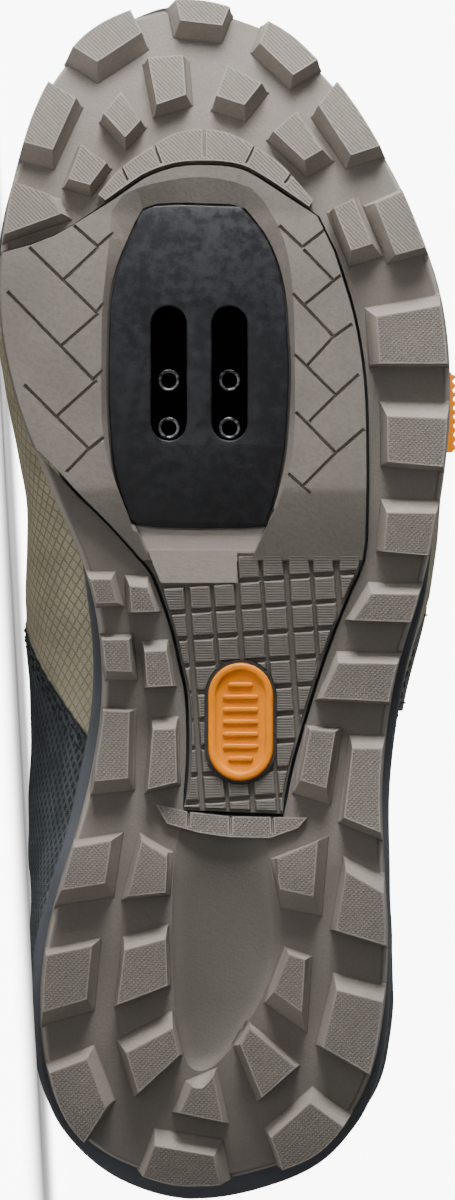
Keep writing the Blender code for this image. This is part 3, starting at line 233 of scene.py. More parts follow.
# Cuts in the pads and ticks in each strip: from across, from ahead, to across, to ahead.
PAD_CUTS = (
    (35.2, 222.8, 29.9, 218.1), (29.9, 218.1, 26.4, 221.2), (45.5, 217.7, 30.3, 202.7),
    (37.6, 210.4, 29.9, 217.7), (30.3, 202.7, 28.7, 204.6), (50.6, 207.4, 31.0, 187.3),
    (38.0, 195.3, 29.9, 202.3), (31.0, 187.3, 28.9, 189.2), (46.7, 185.9, 32.2, 171.5),
    (39.2, 178.9, 30.3, 186.9), (32.2, 171.0, 28.7, 173.8), (32.2, 171.0, 36.9, 166.1),
    (-12.1, 222.8, -17.0, 218.1), (-17.5, 218.1, -22.4, 221.9), (-17.7, 217.2, -24.3, 210.2),
    (-18.2, 204.8, -25.9, 211.1), (-15.2, 206.9, -24.5, 197.1), (-18.7, 190.8, -24.5, 197.1),
    (-24.5, 197.1, -28.5, 199.9), (-15.6, 192.9, -25.0, 183.6), (-19.1, 177.8, -25.0, 183.6),
    (-25.0, 183.6, -30.1, 188.3), (-15.9, 179.6, -25.0, 170.3), (-17.3, 162.6, -25.0, 170.3),
    (-25.0, 170.3, -31.3, 175.7), (-14.2, 165.4, -18.9, 161.2),
)
TOE_TICKS = (
    (24.5, 236.8, 23.1, 234.0), (17.0, 242.2, 15.4, 238.0), (5.4, 245.9, 5.4, 239.6),
    (-6.5, 242.2, -4.4, 238.0), (-14.9, 235.4, -13.3, 233.3),
)
HEEL_TICKS = ((8.9, 88.0, 9.1, 84.9), (-0.7, 87.0, -0.7, 83.1), (-10.3, 87.0, -10.5, 83.3))
# Sections of the upper from heel to toe: low ahead, low up, bulge medial, bulge lateral,
# high ahead, high up, high medial, high lateral, edge ahead, edge up, edge medial, edge lateral.
SECTIONS = (
    (-0.004, 0.28, 0.000, 0.000, -0.004, 0.68, 0.053, 0.053, 0.016, 1.00, 0.050, 0.050),
    (-0.003, 0.29, 0.012, 0.012, 0.020, 0.68, 0.226, -0.150, 0.034, 0.99, 0.178, -0.085),
    (0.000, 0.30, 0.008, 0.010, 0.089, 0.66, 0.350, -0.262, 0.089, 0.92, 0.280, -0.190),
    (0.000, 0.31, 0.018, 0.006, 0.192, 0.60, 0.392, -0.312, 0.181, 0.76, 0.318, -0.240),
    (-0.012, 0.31, 0.118, 0.000, 0.311, 0.60, 0.412, -0.325, 0.289, 0.77, 0.284, -0.218),
    (-0.024, 0.30, 0.150, 0.004, 0.434, 0.63, 0.376, -0.318, 0.391, 0.97, 0.196, -0.140),
    (-0.028, 0.27, 0.050, 0.006, 0.568, 0.60, 0.330, -0.318, 0.492, 0.85, 0.156, -0.106),
    (-0.018, 0.25, 0.018, 0.006, 0.694, 0.57, 0.278, -0.258, 0.579, 0.75, 0.138, -0.094),
    (-0.008, 0.35, 0.008, 0.004, 0.785, 0.80, 0.222, -0.180, 0.650, 1.02, 0.118, -0.078),
    (-0.002, 0.42, 0.004, 0.004, 0.838, 0.99, 0.150, -0.072, 0.686, 1.36, 0.084, -0.046),
    (0.000, 0.44, 0.000, 0.000, 0.858, 0.99, 0.048, 0.048, 0.702, 1.36, 0.020, 0.020),
)
# Seam between the light front and the dark rear: up, metres from the heel.
REAR_SEAM = ((0.00, 0.103), (0.16, 0.115), (0.33, 0.128), (0.60, 0.139), (1.00, 0.146))
# Creases over the ball: metres from the heel, width, depth, slant.
CREASES = (
    (0.186, 0.0040, 0.0007, 0.10), (0.196, 0.0034, 0.0010, 0.05), (0.206, 0.0038, 0.0007, -0.08),
    (0.100, 0.0060, 0.0005, -0.25), (0.088, 0.0050, 0.0006, -0.30),
)


class ShoeSettings(bpy.types.PropertyGroup):
    """Sizes and colours that a user would change."""
    lug_edge: FloatProperty(
        name="Lug Edge", description="Width of the rounding on a lug's edges", default=0.00035, unit="LENGTH")
    hatch_pitch: FloatProperty(
        name="Hatch Pitch", description="Distance between the fine ridges on the lugs", default=0.00070,
        unit="LENGTH")
    cut_width: FloatProperty(
        name="Cut Width", description="Width of the cuts in the pads", default=0.0009, unit="LENGTH")
    block_pitch: FloatProperty(
        name="Block Pitch", description="Distance between the small blocks in the arch", default=0.00582,
        unit="LENGTH")
    weave_pitch: FloatProperty(
        name="Weave Pitch", description="Size of a diamond in the front fabric", default=0.0032,
        unit="LENGTH")
    collar_pad: FloatProperty(
        name="Collar Padding", description="Thickness of the padding around the collar", default=0.0060,
        unit="LENGTH")
    rubber_colour: FloatVectorProperty(
        name="Rubber", description="Colour of the outsole", subtype="COLOR", default=(0.225, 0.198, 0.173))
    plate_colour: FloatVectorProperty(
        name="Plate", description="Colour of the cleat plate", subtype="COLOR",
        default=(0.0125, 0.013, 0.0155))
    amber_colour: FloatVectorProperty(
        name="Amber", description="Colour of the arch insert and the pull tab", subtype="COLOR",
        default=(0.74, 0.215, 0.0))
    foam_colour: FloatVectorProperty(
        name="Midsole", description="Colour of the midsole", subtype="COLOR", default=(0.062, 0.068, 0.078))
    front_colour: FloatVectorProperty(
        name="Front Fabric", description="Colour of the light fabric", subtype="COLOR",
        default=(0.52, 0.475, 0.345))
    rear_colour: FloatVectorProperty(
        name="Rear Fabric", description="Colour of the dark fabric", subtype="COLOR",
        default=(0.095, 0.108, 0.117))
    trim_colour: FloatVectorProperty(
        name="Trim", description="Colour of the straps and bindings", subtype="COLOR",
        default=(0.016, 0.017, 0.020))
    camera_distance: FloatProperty(
        name="Camera Distance", description="Distance of the camera from the sole", default=1.80,
        unit="LENGTH")
    key_power: FloatProperty(
        name="Key Light", description="Strength of the light at the toe's side, in watts", default=13.0)


def curve(values, at):
    """Read a smooth curve through evenly spaced rows, at shares from 0 to 1."""
    rows = np.asarray(values, dtype=float)
    last = len(rows) - 1
    spot = np.clip(np.asarray(at, dtype=float), 0.0, 1.0) * last
    i = np.minimum(spot.astype(int), last - 1)
    t = (spot - i)[..., None]
    more = np.vstack([2 * rows[0] - rows[1], rows, 2 * rows[-1] - rows[-2]])
    before, a, b, after = more[i], more[i + 1], more[i + 2], more[i + 3]
    return 0.5 * (2 * a + (b - before) * t + (2 * before - 5 * a + 4 * b - after) * t * t
                  + (3 * a - before - 3 * b + after) * t ** 3)


def ease(value, low, high):
    """Smooth step from 0 at low to 1 at high."""
    t = np.clip((np.asarray(value, dtype=float) - low) / (high - low), 0.0, 1.0)
    return t * t * (3 - 2 * t)


def ground_rise(y):
    """Height of the underside above the ground at distances from the heel, and its slope."""
    rows = np.asarray(RISE)
    heights = rows[:, 1] * TOE_SPRING + rows[:, 2] * ARCH_RISE + rows[:, 3] * HEEL_RISE
    places = rows[:, 0] * SOLE_LENGTH
    slopes = np.gradient(heights, places)
    level = (np.diff(heights, prepend=heights[0]) == 0) | (np.diff(heights, append=heights[-1]) == 0)
    slopes = np.where(level, 0.0, slopes)
    slopes[0] = (heights[1] - heights[0]) / (places[1] - places[0])
    slopes[-1] = (heights[-1] - heights[-2]) / (places[-1] - places[-2])
    y = np.asarray(y, dtype=float)
    i = np.clip(np.searchsorted(places, y, side="right") - 1, 0, len(places) - 2)
    h = places[i + 1] - places[i]
    t = np.clip((y - places[i]) / h, 0.0, 1.0)
    value = ((2 * t ** 3 - 3 * t * t + 1) * heights[i] + (t ** 3 - 2 * t * t + t) * h * slopes[i]
             + (3 * t * t - 2 * t ** 3) * heights[i + 1] + (t ** 3 - t * t) * h * slopes[i + 1])
    slope = ((6 * t * t - 6 * t) * (heights[i] - heights[i + 1]) / h
             + (3 * t * t - 4 * t + 1) * slopes[i] + (3 * t * t - 2 * t) * slopes[i + 1])
    beyond = y - np.clip(y, places[0], places[-1])
    return value + slope * beyond, slope


def bend(points):
    """Carry points of the flat sole onto the sprung sole."""
    points = np.asarray(points, dtype=float)
    rise, slope = ground_rise(points[..., 1])
    turn = np.arctan(slope)
    return np.stack([points[..., 0], points[..., 1] - points[..., 2] * np.sin(turn),
                     rise + points[..., 2] * np.cos(turn)], -1)


def sole_edge(around, side, midsole=False):
    """Points on the sole's edge: around runs from heel to toe, side is 1 medial or -1 lateral."""
    rows = curve(SOLE_EDGE, around)
    x = np.where(side > 0, rows[..., 0], rows[..., 1]) * BALL_WIDTH
    y = SOLE_LENGTH * (1 - np.cos(np.pi * np.asarray(around, dtype=float))) / 2
    if midsole:
        more = curve(MIDSOLE_EDGE, around)
        x = x + side * np.where(side > 0, more[..., 0], more[..., 1]) * BALL_WIDTH
        y = y - SOLE_LENGTH * MIDSOLE_TAIL * (1 - around) ** 3
    return x, y


def inset_loop(loop, inset):
    """Move a closed counterclockwise loop inwards."""
    loop = np.asarray(loop, dtype=float)
    along = np.roll(loop, -1, 0) - np.roll(loop, 1, 0)
    along /= np.linalg.norm(along, axis=1)[:, None]
    return loop + np.stack([-along[:, 1], along[:, 0]], -1) * inset


def outline(columns, inset=0.0, midsole=False):
    """Closed counterclockwise loop around the sole, starting at the heel."""
    around = np.arange(columns + 1) / columns
    medial = np.stack(sole_edge(around, np.ones(columns + 1), midsole), -1)
    lateral = np.stack(sole_edge(around, -np.ones(columns + 1), midsole), -1)
    return inset_loop(np.concatenate([medial, lateral[-2:0:-1]]), inset)


def draft(level):
    """Inset of the outsole's side wall at a level above the worn faces."""
    share = (level + 0.004) / (OUTSOLE_TOP + 0.008)
    return EDGE_DRAFT * (1 - 1.3 * share)


def smooth_row(points, count):
    """More points along a smooth open row."""
    return curve(points, np.linspace(0, 1, count))


def insert_outline(inset):
    """Closed loop around the central insert, smooth between its corners."""
    shares = np.concatenate([smooth_row(table, 28) for table in (INSERT_TOE, INSERT_LATERAL, INSERT_MEDIAL)])
    return inset_loop(np.stack([shares[:, 1] * BALL_WIDTH, shares[:, 0] * SOLE_LENGTH], -1), inset)


def plate_outline(inset):
    """Closed loop around the cleat plate."""
    table = np.asarray(PLATE_EDGE[::-1])
    shares = smooth_row(np.vstack([table, table[:1]]), 61)[:-1]
    return inset_loop(np.stack([shares[:, 1] * BALL_WIDTH, shares[:, 0] * SOLE_LENGTH], -1), inset)


def pill(x, y, width, length, count=12):
    """Loop with round ends."""
    turn = np.pi * np.arange(count + 1) / count
    ends = []
    for end in (1, -1):
        ends.append(np.stack([x + end * width / 2 * np.cos(turn),
                              y + end * (length - width) / 2 + end * width / 2 * np.sin(turn)], -1))
    return np.concatenate(ends)


def midsole_thickness(y):
    share = np.clip(np.asarray(y, dtype=float) / SOLE_LENGTH, 0.0, 1.0)
    return MIDSOLE_HEEL + (MIDSOLE_TOE - MIDSOLE_HEEL) * share * share * (3 - 2 * share)


def footbed(y):
    """Level of the midsole's top above the worn faces."""
    return OUTSOLE_TOP + JOINT_GAP + midsole_thickness(y)


def local_height(around):
    heel = ease(1 - around / 0.32, 0.0, 1.0)
    toe = ease(around, 0.66, 0.90)
    return HEEL_HEIGHT * heel + TOE_HEIGHT * toe + INSTEP_HEIGHT * (1 - heel - toe)


def upper_point(around, side, up):
    """Points on the upper's outer face: up runs from its foot to the rim of the opening."""
    around, side, up = np.broadcast_arrays(np.asarray(around, float), np.asarray(side, float),
                                           np.asarray(up, float))
    row = curve(SECTIONS, around)
    height = local_height(around)
    foot_x, foot_y = sole_edge(around, side, True)
    near_x, near_y = sole_edge(np.minimum(around + 0.02, 1.0), side, True)
    back_x, back_y = sole_edge(np.maximum(around - 0.02, 0.0), side, True)
    along_x, along_y = near_x - back_x, near_y - back_y
    at_end = (around <= 0.0) | (around >= 1.0)
    along_x = np.where(at_end, np.where(around > 0.5, -side, side), along_x)
    along_y = np.where(at_end, 0.0, along_y)
    size = np.hypot(along_x, along_y)
    out_x, out_y = along_y / size * side, -along_x / size * side
    inset = UPPER_INSET * BALL_WIDTH
    foot_x = foot_x - out_x * inset
    foot_y = foot_y - out_y * inset
    foot = bend(np.stack([foot_x, foot_y, footbed(foot_y) + JOINT_GAP], -1))
    medial = side > 0
    low_x = foot[..., 0] + side * np.where(medial, row[..., 2], row[..., 3]) * BALL_WIDTH
    low = np.stack([np.where(at_end, foot[..., 0], low_x), foot[..., 1] + row[..., 0] * SOLE_LENGTH,
                    foot[..., 2] + row[..., 1] * height], -1)
    parts = [foot, low]
    for ahead, lift, inner, outer in ((4, 5, 6, 7), (8, 9, 10, 11)):
        y = row[..., ahead] * SOLE_LENGTH
        base = bend(np.stack([np.zeros_like(y), y, footbed(y)], -1))[..., 2]
        x = np.where(medial, row[..., inner], row[..., outer]) * BALL_WIDTH
        parts.append(np.stack([x, y, base + row[..., lift] * height], -1))
    t = np.clip(up, 0.0, 1.0)[..., None]
    third = 1 / 3
    weights = (
        (t - third) * (t - 2 * third) * (t - 1) / (-third * 2 * third),
        t * (t - 2 * third) * (t - 1) / (third * third * 2 * third),
        t * (t - third) * (t - 1) / (-2 * third * third * third),
        t * (t - third) * (t - 2 * third) / (2 * third * third),
    )
    return sum(part * weight for part, weight in zip(parts, weights))


def upper_normal(around, side, up):
    """Outward directions of the upper's face."""
    around, side, up = np.broadcast_arrays(np.asarray(around, float), np.asarray(side, float),
                                           np.asarray(up, float))
    step = 0.01
    a = (upper_point(np.minimum(around + step, 1), side, up)
         - upper_point(np.maximum(around - step, 0), side, up))
    b = (upper_point(around, side, np.minimum(up + step, 1))
         - upper_point(around, side, np.maximum(up - step, 0)))
    out = np.cross(a, b) * side[..., None]
    return out / np.linalg.norm(out, axis=-1)[..., None]


def upper_at(place, side, up, shift):
    """Points of the upper at distances from the heel, moved out along its face."""
    place, side, up = np.broadcast_arrays(np.asarray(place, float), np.asarray(side, float),
                                          np.asarray(up, float))
    low, high = np.full(place.shape, 0.02), np.full(place.shape, 0.98)
    for _ in range(24):
        middle = (low + high) / 2
        short = upper_point(middle, side, up)[..., 1] < place
        low, high = np.where(short, middle, low), np.where(short, high, middle)
    middle = (low + high) / 2
    return upper_point(middle, side, up) + upper_normal(middle, side, up) * shift


def shoe_frame():
    """Place of the shoe's own axes in the world, read from the four cleat nuts."""
    spots = []
    for number in range(1, 5):
        low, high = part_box("cleat_nut_%d" % number)
        spots.append((low + high) / 2)
    ahead = (spots[0] - spots[1] + spots[2] - spots[3]).normalized()
    medial = (spots[0] - spots[2] + spots[1] - spots[3]).normalized()
    upward = medial.cross(ahead).normalized()
    medial = ahead.cross(upward)
    turn = Matrix((medial, ahead, upward)).transposed()
    local = Vector((SLOT_ACROSS * BALL_WIDTH, SLOT_MIDDLE * SOLE_LENGTH - BOLT_SETBACK,
                    PLATE_DROP + 0.65 * PLATE_THICKNESS))
    centre = sum(spots, Vector()) / 4
    return Matrix.Translation(centre - turn @ local) @ turn.to_4x4()


SHOE = shoe_frame()


def select_only(piece):
    bpy.ops.object.select_all(action="DESELECT")
    piece.select_set(True)
    bpy.context.view_layer.objects.active = piece


def face_away(piece, centre=None):
    """Turn an open sheet's faces away from a point, or upwards where none is given."""
    outward = 0.0
    for face in piece.data.polygons:
        way = Vector((0, 0, 1)) if centre is None else face.center - centre
        outward += way.dot(face.normal) * face.area
    if outward < 0:
        select_only(piece)
        bpy.ops.object.mode_set(mode="EDIT")
        bpy.ops.mesh.select_all(action="SELECT")
        bpy.ops.mesh.flip_normals()
        bpy.ops.object.mode_set(mode="OBJECT")


def merge_ends(piece, distance):
    """Merge the corners where a closed form meets itself, and turn its faces outwards."""
    select_only(piece)
    bpy.ops.object.mode_set(mode="EDIT")
    bpy.ops.mesh.select_all(action="SELECT")
    bpy.ops.mesh.remove_doubles(threshold=distance)
    bpy.ops.mesh.normals_make_consistent(inside=False)
    bpy.ops.object.mode_set(mode="OBJECT")


def positions(piece):
    """Corner positions of a piece as an array."""
    spots = np.empty(len(piece.data.vertices) * 3)
    piece.data.vertices.foreach_get("co", spots)
    return spots.reshape(-1, 3)


def place_corners(piece, spots):
    piece.data.vertices.foreach_set("co", np.ascontiguousarray(spots, dtype=float).reshape(-1))
    piece.data.update()


def write_values(piece, name, values, kind="FLOAT"):
    """Keep a value for each corner of the mesh."""
    layer = piece.data.attributes.new(name, kind, "POINT")
    field = "vector" if kind == "FLOAT_VECTOR" else "value"
    layer.data.foreach_set(field, np.ascontiguousarray(values, dtype=float).reshape(-1))


def loft(name, rows, closed=False, caps=False, pattern=None, fields=None):
    """Lay a grid primitive on rows of points, and close it where asked.

    pattern holds the fabric's own coordinates for each point, in metres, and fields other values by name.
    """
    rows = np.asarray(rows, dtype=float)
    fields = dict(fields or {})
    if closed:
        rows = np.concatenate([rows, rows[:, :1]], 1)
        fields = {key: np.concatenate([values, values[:, :1]], 1) for key, values in fields.items()}
    bpy.ops.object.select_all(action="DESELECT")
    bpy.ops.mesh.primitive_grid_add(x_subdivisions=rows.shape[1] - 1, y_subdivisions=rows.shape[0] - 1,
                                    size=0.1)
    piece = bpy.context.object
    piece.name = name
    piece.data.name = name
    place_corners(piece, rows)
    if pattern is not None:
        spots = np.asarray(pattern, dtype=float).reshape(-1, 2)
        corners = np.empty(len(piece.data.loops), dtype=int)
        piece.data.loops.foreach_get("vertex_index", corners)
        piece.data.uv_layers.active.data.foreach_set("uv", spots[corners].reshape(-1))
    for key, values in fields.items():
        write_values(piece, key, values)
    if closed or caps:
        bpy.ops.object.mode_set(mode="EDIT")
        bpy.ops.mesh.select_all(action="SELECT")
        bpy.ops.mesh.remove_doubles(threshold=1e-7)
        if caps:
            bpy.ops.mesh.fill_holes(sides=0)
            bpy.ops.mesh.select_all(action="SELECT")
            bpy.ops.mesh.normals_make_consistent(inside=False)
        bpy.ops.object.mode_set(mode="OBJECT")
    return piece


def stack(name, levels):
    """Closed solid through loops at rising levels."""
    rows = [np.column_stack([loop, np.full(len(loop), level)]) for level, loop in levels]
    return loft(name, rows, closed=True, caps=True)


def finish(piece, kind, **settings):
    """Add one modifier and apply it."""
    select_only(piece)
    modifier = piece.modifiers.new(kind.lower(), kind)
    for key, value in settings.items():
        setattr(modifier, key, value)
    bpy.ops.object.modifier_apply(modifier=modifier.name)


def cut(piece, tool, operation="DIFFERENCE", crossing=False):
    """Cut a piece with a tool, which is used up."""
    finish(piece, "BOOLEAN", operation=operation, solver="EXACT", object=tool, use_self=crossing)
    bpy.data.objects.remove(tool)


def round_edges(piece, width, angle=28, segments=2):
    finish(piece, "BEVEL", width=width, segments=segments, limit_method="ANGLE",
           angle_limit=math.radians(angle), use_clamp_overlap=True)


def join(name, parts):
    """Join pieces into the first."""
    select_only(parts[0])
    for part in parts[1:]:
        part.select_set(True)
    if len(parts) > 1:
        bpy.ops.object.join()
    parts[0].name = name
    parts[0].data.name = name
    return parts[0]


def slice_along(piece, places):
    """Cut a piece across at distances from the heel, so that it can bend there."""
    select_only(piece)
    bpy.ops.object.mode_set(mode="EDIT")
    for place in places:
        bpy.ops.mesh.select_all(action="SELECT")
        bpy.ops.mesh.bisect(plane_co=(0, place, 0), plane_no=(0, 1, 0), threshold=1e-6)
    bpy.ops.object.mode_set(mode="OBJECT")


def settle(piece, surfaces, nodes=(), flat=False, angle=35):
    """Bend a piece with the sole if it is flat, lay it in its place and dress it."""
    spots = positions(piece)
    write_values(piece, "shoe_place", spots, "FLOAT_VECTOR")
    if flat:
        spots = bend(spots)
    turn = np.array(SHOE.to_3x3())
    place_corners(piece, spots @ turn.T + np.array(SHOE.translation))
    piece.data.materials.clear()
    for surface in surfaces:
        piece.data.materials.append(surface)
    select_only(piece)
    bpy.ops.object.shade_smooth_by_angle(angle=math.radians(angle))
    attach(piece, "root")
    if nodes:
        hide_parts(*nodes)
    return piece


class Value:
    """A number or colour that varies over a surface; arithmetic on it adds nodes."""

    def __init__(self, surface, socket):
        self.surface = surface
        self.socket = socket

    def work(self, operation, *values):
        return self.surface.node("ShaderNodeMath", {"operation": operation}, dict(enumerate(values)))

    def __add__(self, other):
        return self.work("ADD", self, other)

    def __radd__(self, other):
        return self.work("ADD", other, self)

    def __sub__(self, other):
        return self.work("SUBTRACT", self, other)

    def __rsub__(self, other):
        return self.work("SUBTRACT", other, self)

    def __mul__(self, other):
        return self.work("MULTIPLY", self, other)

    def __rmul__(self, other):
        return self.work("MULTIPLY", other, self)

    def __truediv__(self, other):
        return self.work("DIVIDE", self, other)

    def __neg__(self):
        return self.work("MULTIPLY", self, -1.0)

    def __pow__(self, other):
        return self.work("POWER", self, other)

    def ripple(self, pitch):
        """Sine wave from -1 to 1 that repeats at a pitch in metres."""
        return self.work("SINE", self * (2 * math.pi / pitch))

    def size(self):
        return self.work("ABSOLUTE", self)

    def part(self):
        """Fraction above the next lower whole number."""
        return self.work("FRACT", self)

    def least(self, other):
        return self.work("MINIMUM", self, other)

    def most(self, other):
        return self.work("MAXIMUM", self, other)

    def step(self, low, high, start=0.0, end=1.0):
        """Smooth step from start at low to end at high."""
        return self.surface.node("ShaderNodeMapRange", {"interpolation_type": "SMOOTHSTEP"},
                                 {"Value": self, "From Min": low, "From Max": high,
                                  "To Min": start, "To Max": end})

    def parts(self):
        """The three numbers of a vector."""
        split = self.surface.tree.nodes.new("ShaderNodeSeparateXYZ")
        self.surface.feed(split.inputs[0], self)
        return [Value(self.surface, socket) for socket in split.outputs]


class Surface:
    """A material whose nodes are written as expressions."""

    def __init__(self, name, colour, roughness, **fixed):
        self.material = bpy.data.materials.new(name)
        self.material.use_nodes = True
        self.material.diffuse_color = (*colour, 1.0)
        self.tree = self.material.node_tree
        self.shader = self.tree.nodes["Principled BSDF"]
        self.shader.inputs["Base Color"].default_value = (*colour, 1.0)
        self.shader.inputs["Roughness"].default_value = roughness
        for key, value in fixed.items():
            self.shader.inputs[key.replace("_", " ").title().replace("Ior", "IOR")].default_value = value

    def feed(self, socket, value):
        if isinstance(value, Value):
            self.tree.links.new(value.socket, socket)
        elif socket.type == "RGBA" and len(value) == 3:
            socket.default_value = (*value, 1.0)
        else:
            socket.default_value = value

    def node(self, kind, settings=None, values=None, output=0):
        made = self.tree.nodes.new(kind)
        for key, value in (settings or {}).items():
            setattr(made, key, value)
        for key, value in (values or {}).items():
            self.feed(made.inputs[key], value)
        return Value(self, made.outputs[output])

    def place(self):
        """Coordinates in the shoe's own axes, before the sole is sprung."""
        return self.node("ShaderNodeAttribute", {"attribute_name": "shoe_place"}, output=1)

    def value(self, name):
        return self.node("ShaderNodeAttribute", {"attribute_name": name}, output=2)

    def cloth(self):
        """Coordinates along the piece's own cloth."""
        return self.node("ShaderNodeUVMap", {"uv_map": "UVMap"})

    def noise(self, at, scale, detail=2.0, rough=0.5):
        return self.node("ShaderNodeTexNoise", {"noise_dimensions": "3D"},
                         {"Vector": at, "Scale": scale, "Detail": detail, "Roughness": rough})

    def mix(self, factor, a, b):
        return self.node("ShaderNodeMix", {"data_type": "RGBA"}, {0: factor, 6: a, 7: b}, output=2)

    def relief(self, height, distance, strength=1.0, under=None):
        """Bump from a height between 0 and 1; under is the bump below it."""
        values = {"Height": height, "Distance": distance, "Strength": strength}
        if under is not None:
            values["Normal"] = under
        return self.node("ShaderNodeBump", values=values)

    def dress(self, **looks):
        """Feed varying looks to the shader, and give the material."""
        for key, value in looks.items():
            self.feed(self.shader.inputs[key.replace("_", " ").title()], value)
        return self.material


def shade(colour, share):
    return tuple(part * share for part in colour)


def rubber_surface(name, settings, floor_level, tint=1.0, hatch_groove_shade=0.50, grain_scale=1500.0, insert=False):
    """Moulded rubber: fine grain, hatch where the tread value asks for it, painted shade in its depths and
    grooves, and painted highlights on its edge and ramp.

    The tread value is 1 for diagonal ridges, 2 for crossed ones and 3 for ridges across the sole.
    """
    colour = shade(settings.rubber_colour, tint)
    rubber = Surface(name, colour, 0.68, specular_ior_level=0.3)
    at = rubber.place()
    x, y, z = at.parts()
    mottle = rubber.noise(at, 70.0, 3.0)
    grain = rubber.noise(at, grain_scale, 3.0, 0.6)
    tone = rubber.mix(mottle.step(0.3, 0.7), shade(colour, 0.92), shade(colour, 1.07))
    tone = rubber.mix(grain.step(0.42, 0.62) * 0.22, tone, shade(colour, 0.55))
    normal = rubber.relief(grain, 0.00016, 0.7)
    rough = mottle.step(0.2, 0.8, 0.60, 0.76)
    tread = rubber.value("tread")
    hatch = settings.hatch_pitch
    one = (x - y).ripple(hatch * 1.414).step(-0.6, 0.5)
    two = (x + y).ripple(hatch * 1.55).step(-0.6, 0.5)
    three = y.ripple(hatch * 0.85).step(-0.7, 0.5)
    crossed = tread.step(1.2, 1.8)
    lined = tread.step(2.2, 2.8)
    ridges = one * (1 - crossed) + one.least(two) * (crossed - lined) + three * lined
    asked = tread.step(0.2, 0.8)
    groove = (1 - ridges) * asked
    # Painted shade: the hatch grooves are darkened.
    tone = rubber.mix(groove * hatch_groove_shade, tone, shade(colour, 0.36))
    # Painted shade: the floor between the lugs is darkened, less towards the toe where more light falls.
    low = z.step(floor_level - 0.0007, floor_level)
    tone = rubber.mix(low * y.step(0.20, 0.25, 0.60, 0.44), tone, shade(colour, 0.34))
    # Painted shade: the arch blocks, tread value 3, are darkened as if in a hollow.
    tone = rubber.mix(lined * 0.5, tone, shade(colour, 0.34))
    # Painted highlight: the rounded foot of the side wall is lightened along the sole's edge and heel.
    edge = x.size().step(0.018, 0.022).most(1 - y.step(0.008, 0.014))
    rim = z.step(floor_level + 0.0002, floor_level + 0.0009) * edge
    tone = rubber.mix(rim * 0.8, tone, shade(colour, 1.35))
    if insert:
        ramp = 1 - ((x - 0.0061).size() - (y - 0.1394) * 0.43).step(0.0086, 0.0094)
        # Painted shade: the pad slopes beside the ramp, the recess's toe slope and the insert beyond it are
        # darkened.
        slope = (1 - y.step(0.1605, 0.1635)) * y.step(0.1435, 0.1450) * (1 - ramp)
        tone = rubber.mix(slope.most(y.step(0.2245, 0.2275)) * 0.45, tone, shade(colour, 0.38))
        # Painted highlight: the ramp below the plate is lightened, apart from the arch blocks.
        block = (1 - x.step(-0.0026, -0.0022)) * (1 - y.step(0.1464, 0.1468))
        lit = ramp * y.step(0.1393, 0.1402) * (1 - y.step(0.153, 0.157))
        lit = lit * (1 - z.step(0.0050, 0.0054)) * (1 - block)
        tone = rubber.mix(lit, tone, shade(colour, 1.7))
    else:
        # Painted shade: faces deeper than the lug roots near the heel, the scoop, are darkened.
        bowl = z.step(LUG_HEIGHT + 0.0008, LUG_HEIGHT + 0.0022) * (1 - y.step(0.085, 0.088))
        tone = rubber.mix(bowl * 0.45, tone, shade(colour, 0.30))
    normal = rubber.relief(1 - groove, 0.00034, 0.5 if insert else 1.0, normal)
    return rubber.dress(base_color=tone, roughness=rough, normal=normal)


def plate_surface(settings):
    """Glass-filled plastic with cloudy gloss and painted shade towards its heel end."""
    colour = tuple(settings.plate_colour)
    plastic = Surface("black_plate", colour, 0.5, specular_ior_level=0.25)
    at = plastic.place()
    cloud = plastic.noise(at, 380.0, 5.0, 0.70)
    broad = plastic.noise(at, 45.0, 2.0)
    mask = (cloud * 0.7 + broad * 0.3).step(0.40, 0.62)
    tone = plastic.mix(mask, shade(colour, 0.70), shade(colour, 1.6))
    _, y, _ = at.parts()
    # Painted shade: the plate darkens towards its heel end.
    tone = plastic.mix(y.step(0.150, 0.215, 0.80, 0.0), tone, shade(colour, 0.15))
    fine = plastic.noise(at, 1500.0, 2.0)
    return plastic.dress(base_color=tone, roughness=mask.step(0.0, 1.0, 0.34, 0.55),
                         normal=plastic.relief(fine + cloud, 0.00005, 0.5))


def steel_surface():
    """Blackened steel, bright where the thread is rubbed."""
    steel = Surface("black_steel", (0.20, 0.20, 0.21), 0.28, metallic=1.0)
    at = steel.place()
    worn = steel.noise(at, 900.0, 3.0)
    tone = steel.mix(worn.step(0.35, 0.7), (0.035, 0.035, 0.037), (0.20, 0.20, 0.21))
    return steel.dress(base_color=tone, roughness=worn.step(0.2, 0.8, 0.20, 0.38))


def amber_surface(name, settings, painted_glow=0.0):
    """Soft amber plastic; a glow above 0 is painted light."""
    colour = tuple(settings.amber_colour)
    amber = Surface(name, colour, 0.5, specular_ior_level=0.2, emission_color=(*colour, 1.0),
                    emission_strength=painted_glow)
    at = amber.place()
    cloud = amber.noise(at, 160.0, 3.0)
    tone = amber.mix(cloud.step(0.3, 0.7), shade(colour, 0.90), shade(colour, 1.06))
    fine = amber.noise(at, 1700.0, 2.0)
    return amber.dress(base_color=tone, roughness=cloud.step(0.2, 0.8, 0.33, 0.45),
                       normal=amber.relief(fine, 0.00003, 0.5))


def foam_surface(settings):
    """Moulded foam with a pebbled skin."""
    colour = tuple(settings.foam_colour)
    foam = Surface("midsole_foam", colour, 0.72, specular_ior_level=0.3)
    at = foam.place()
    pebble = foam.node("ShaderNodeTexVoronoi", {"feature": "SMOOTH_F1"},
                       {"Vector": at, "Scale": 900.0, "Smoothness": 0.6})
    cloud = foam.noise(at, 60.0, 3.0)
    tone = foam.mix(cloud.step(0.3, 0.7), shade(colour, 0.92), shade(colour, 1.10))
    return foam.dress(base_color=tone, roughness=cloud.step(0.2, 0.8, 0.60, 0.74),
                      normal=foam.relief(1 - pebble, 0.00008, 0.6))


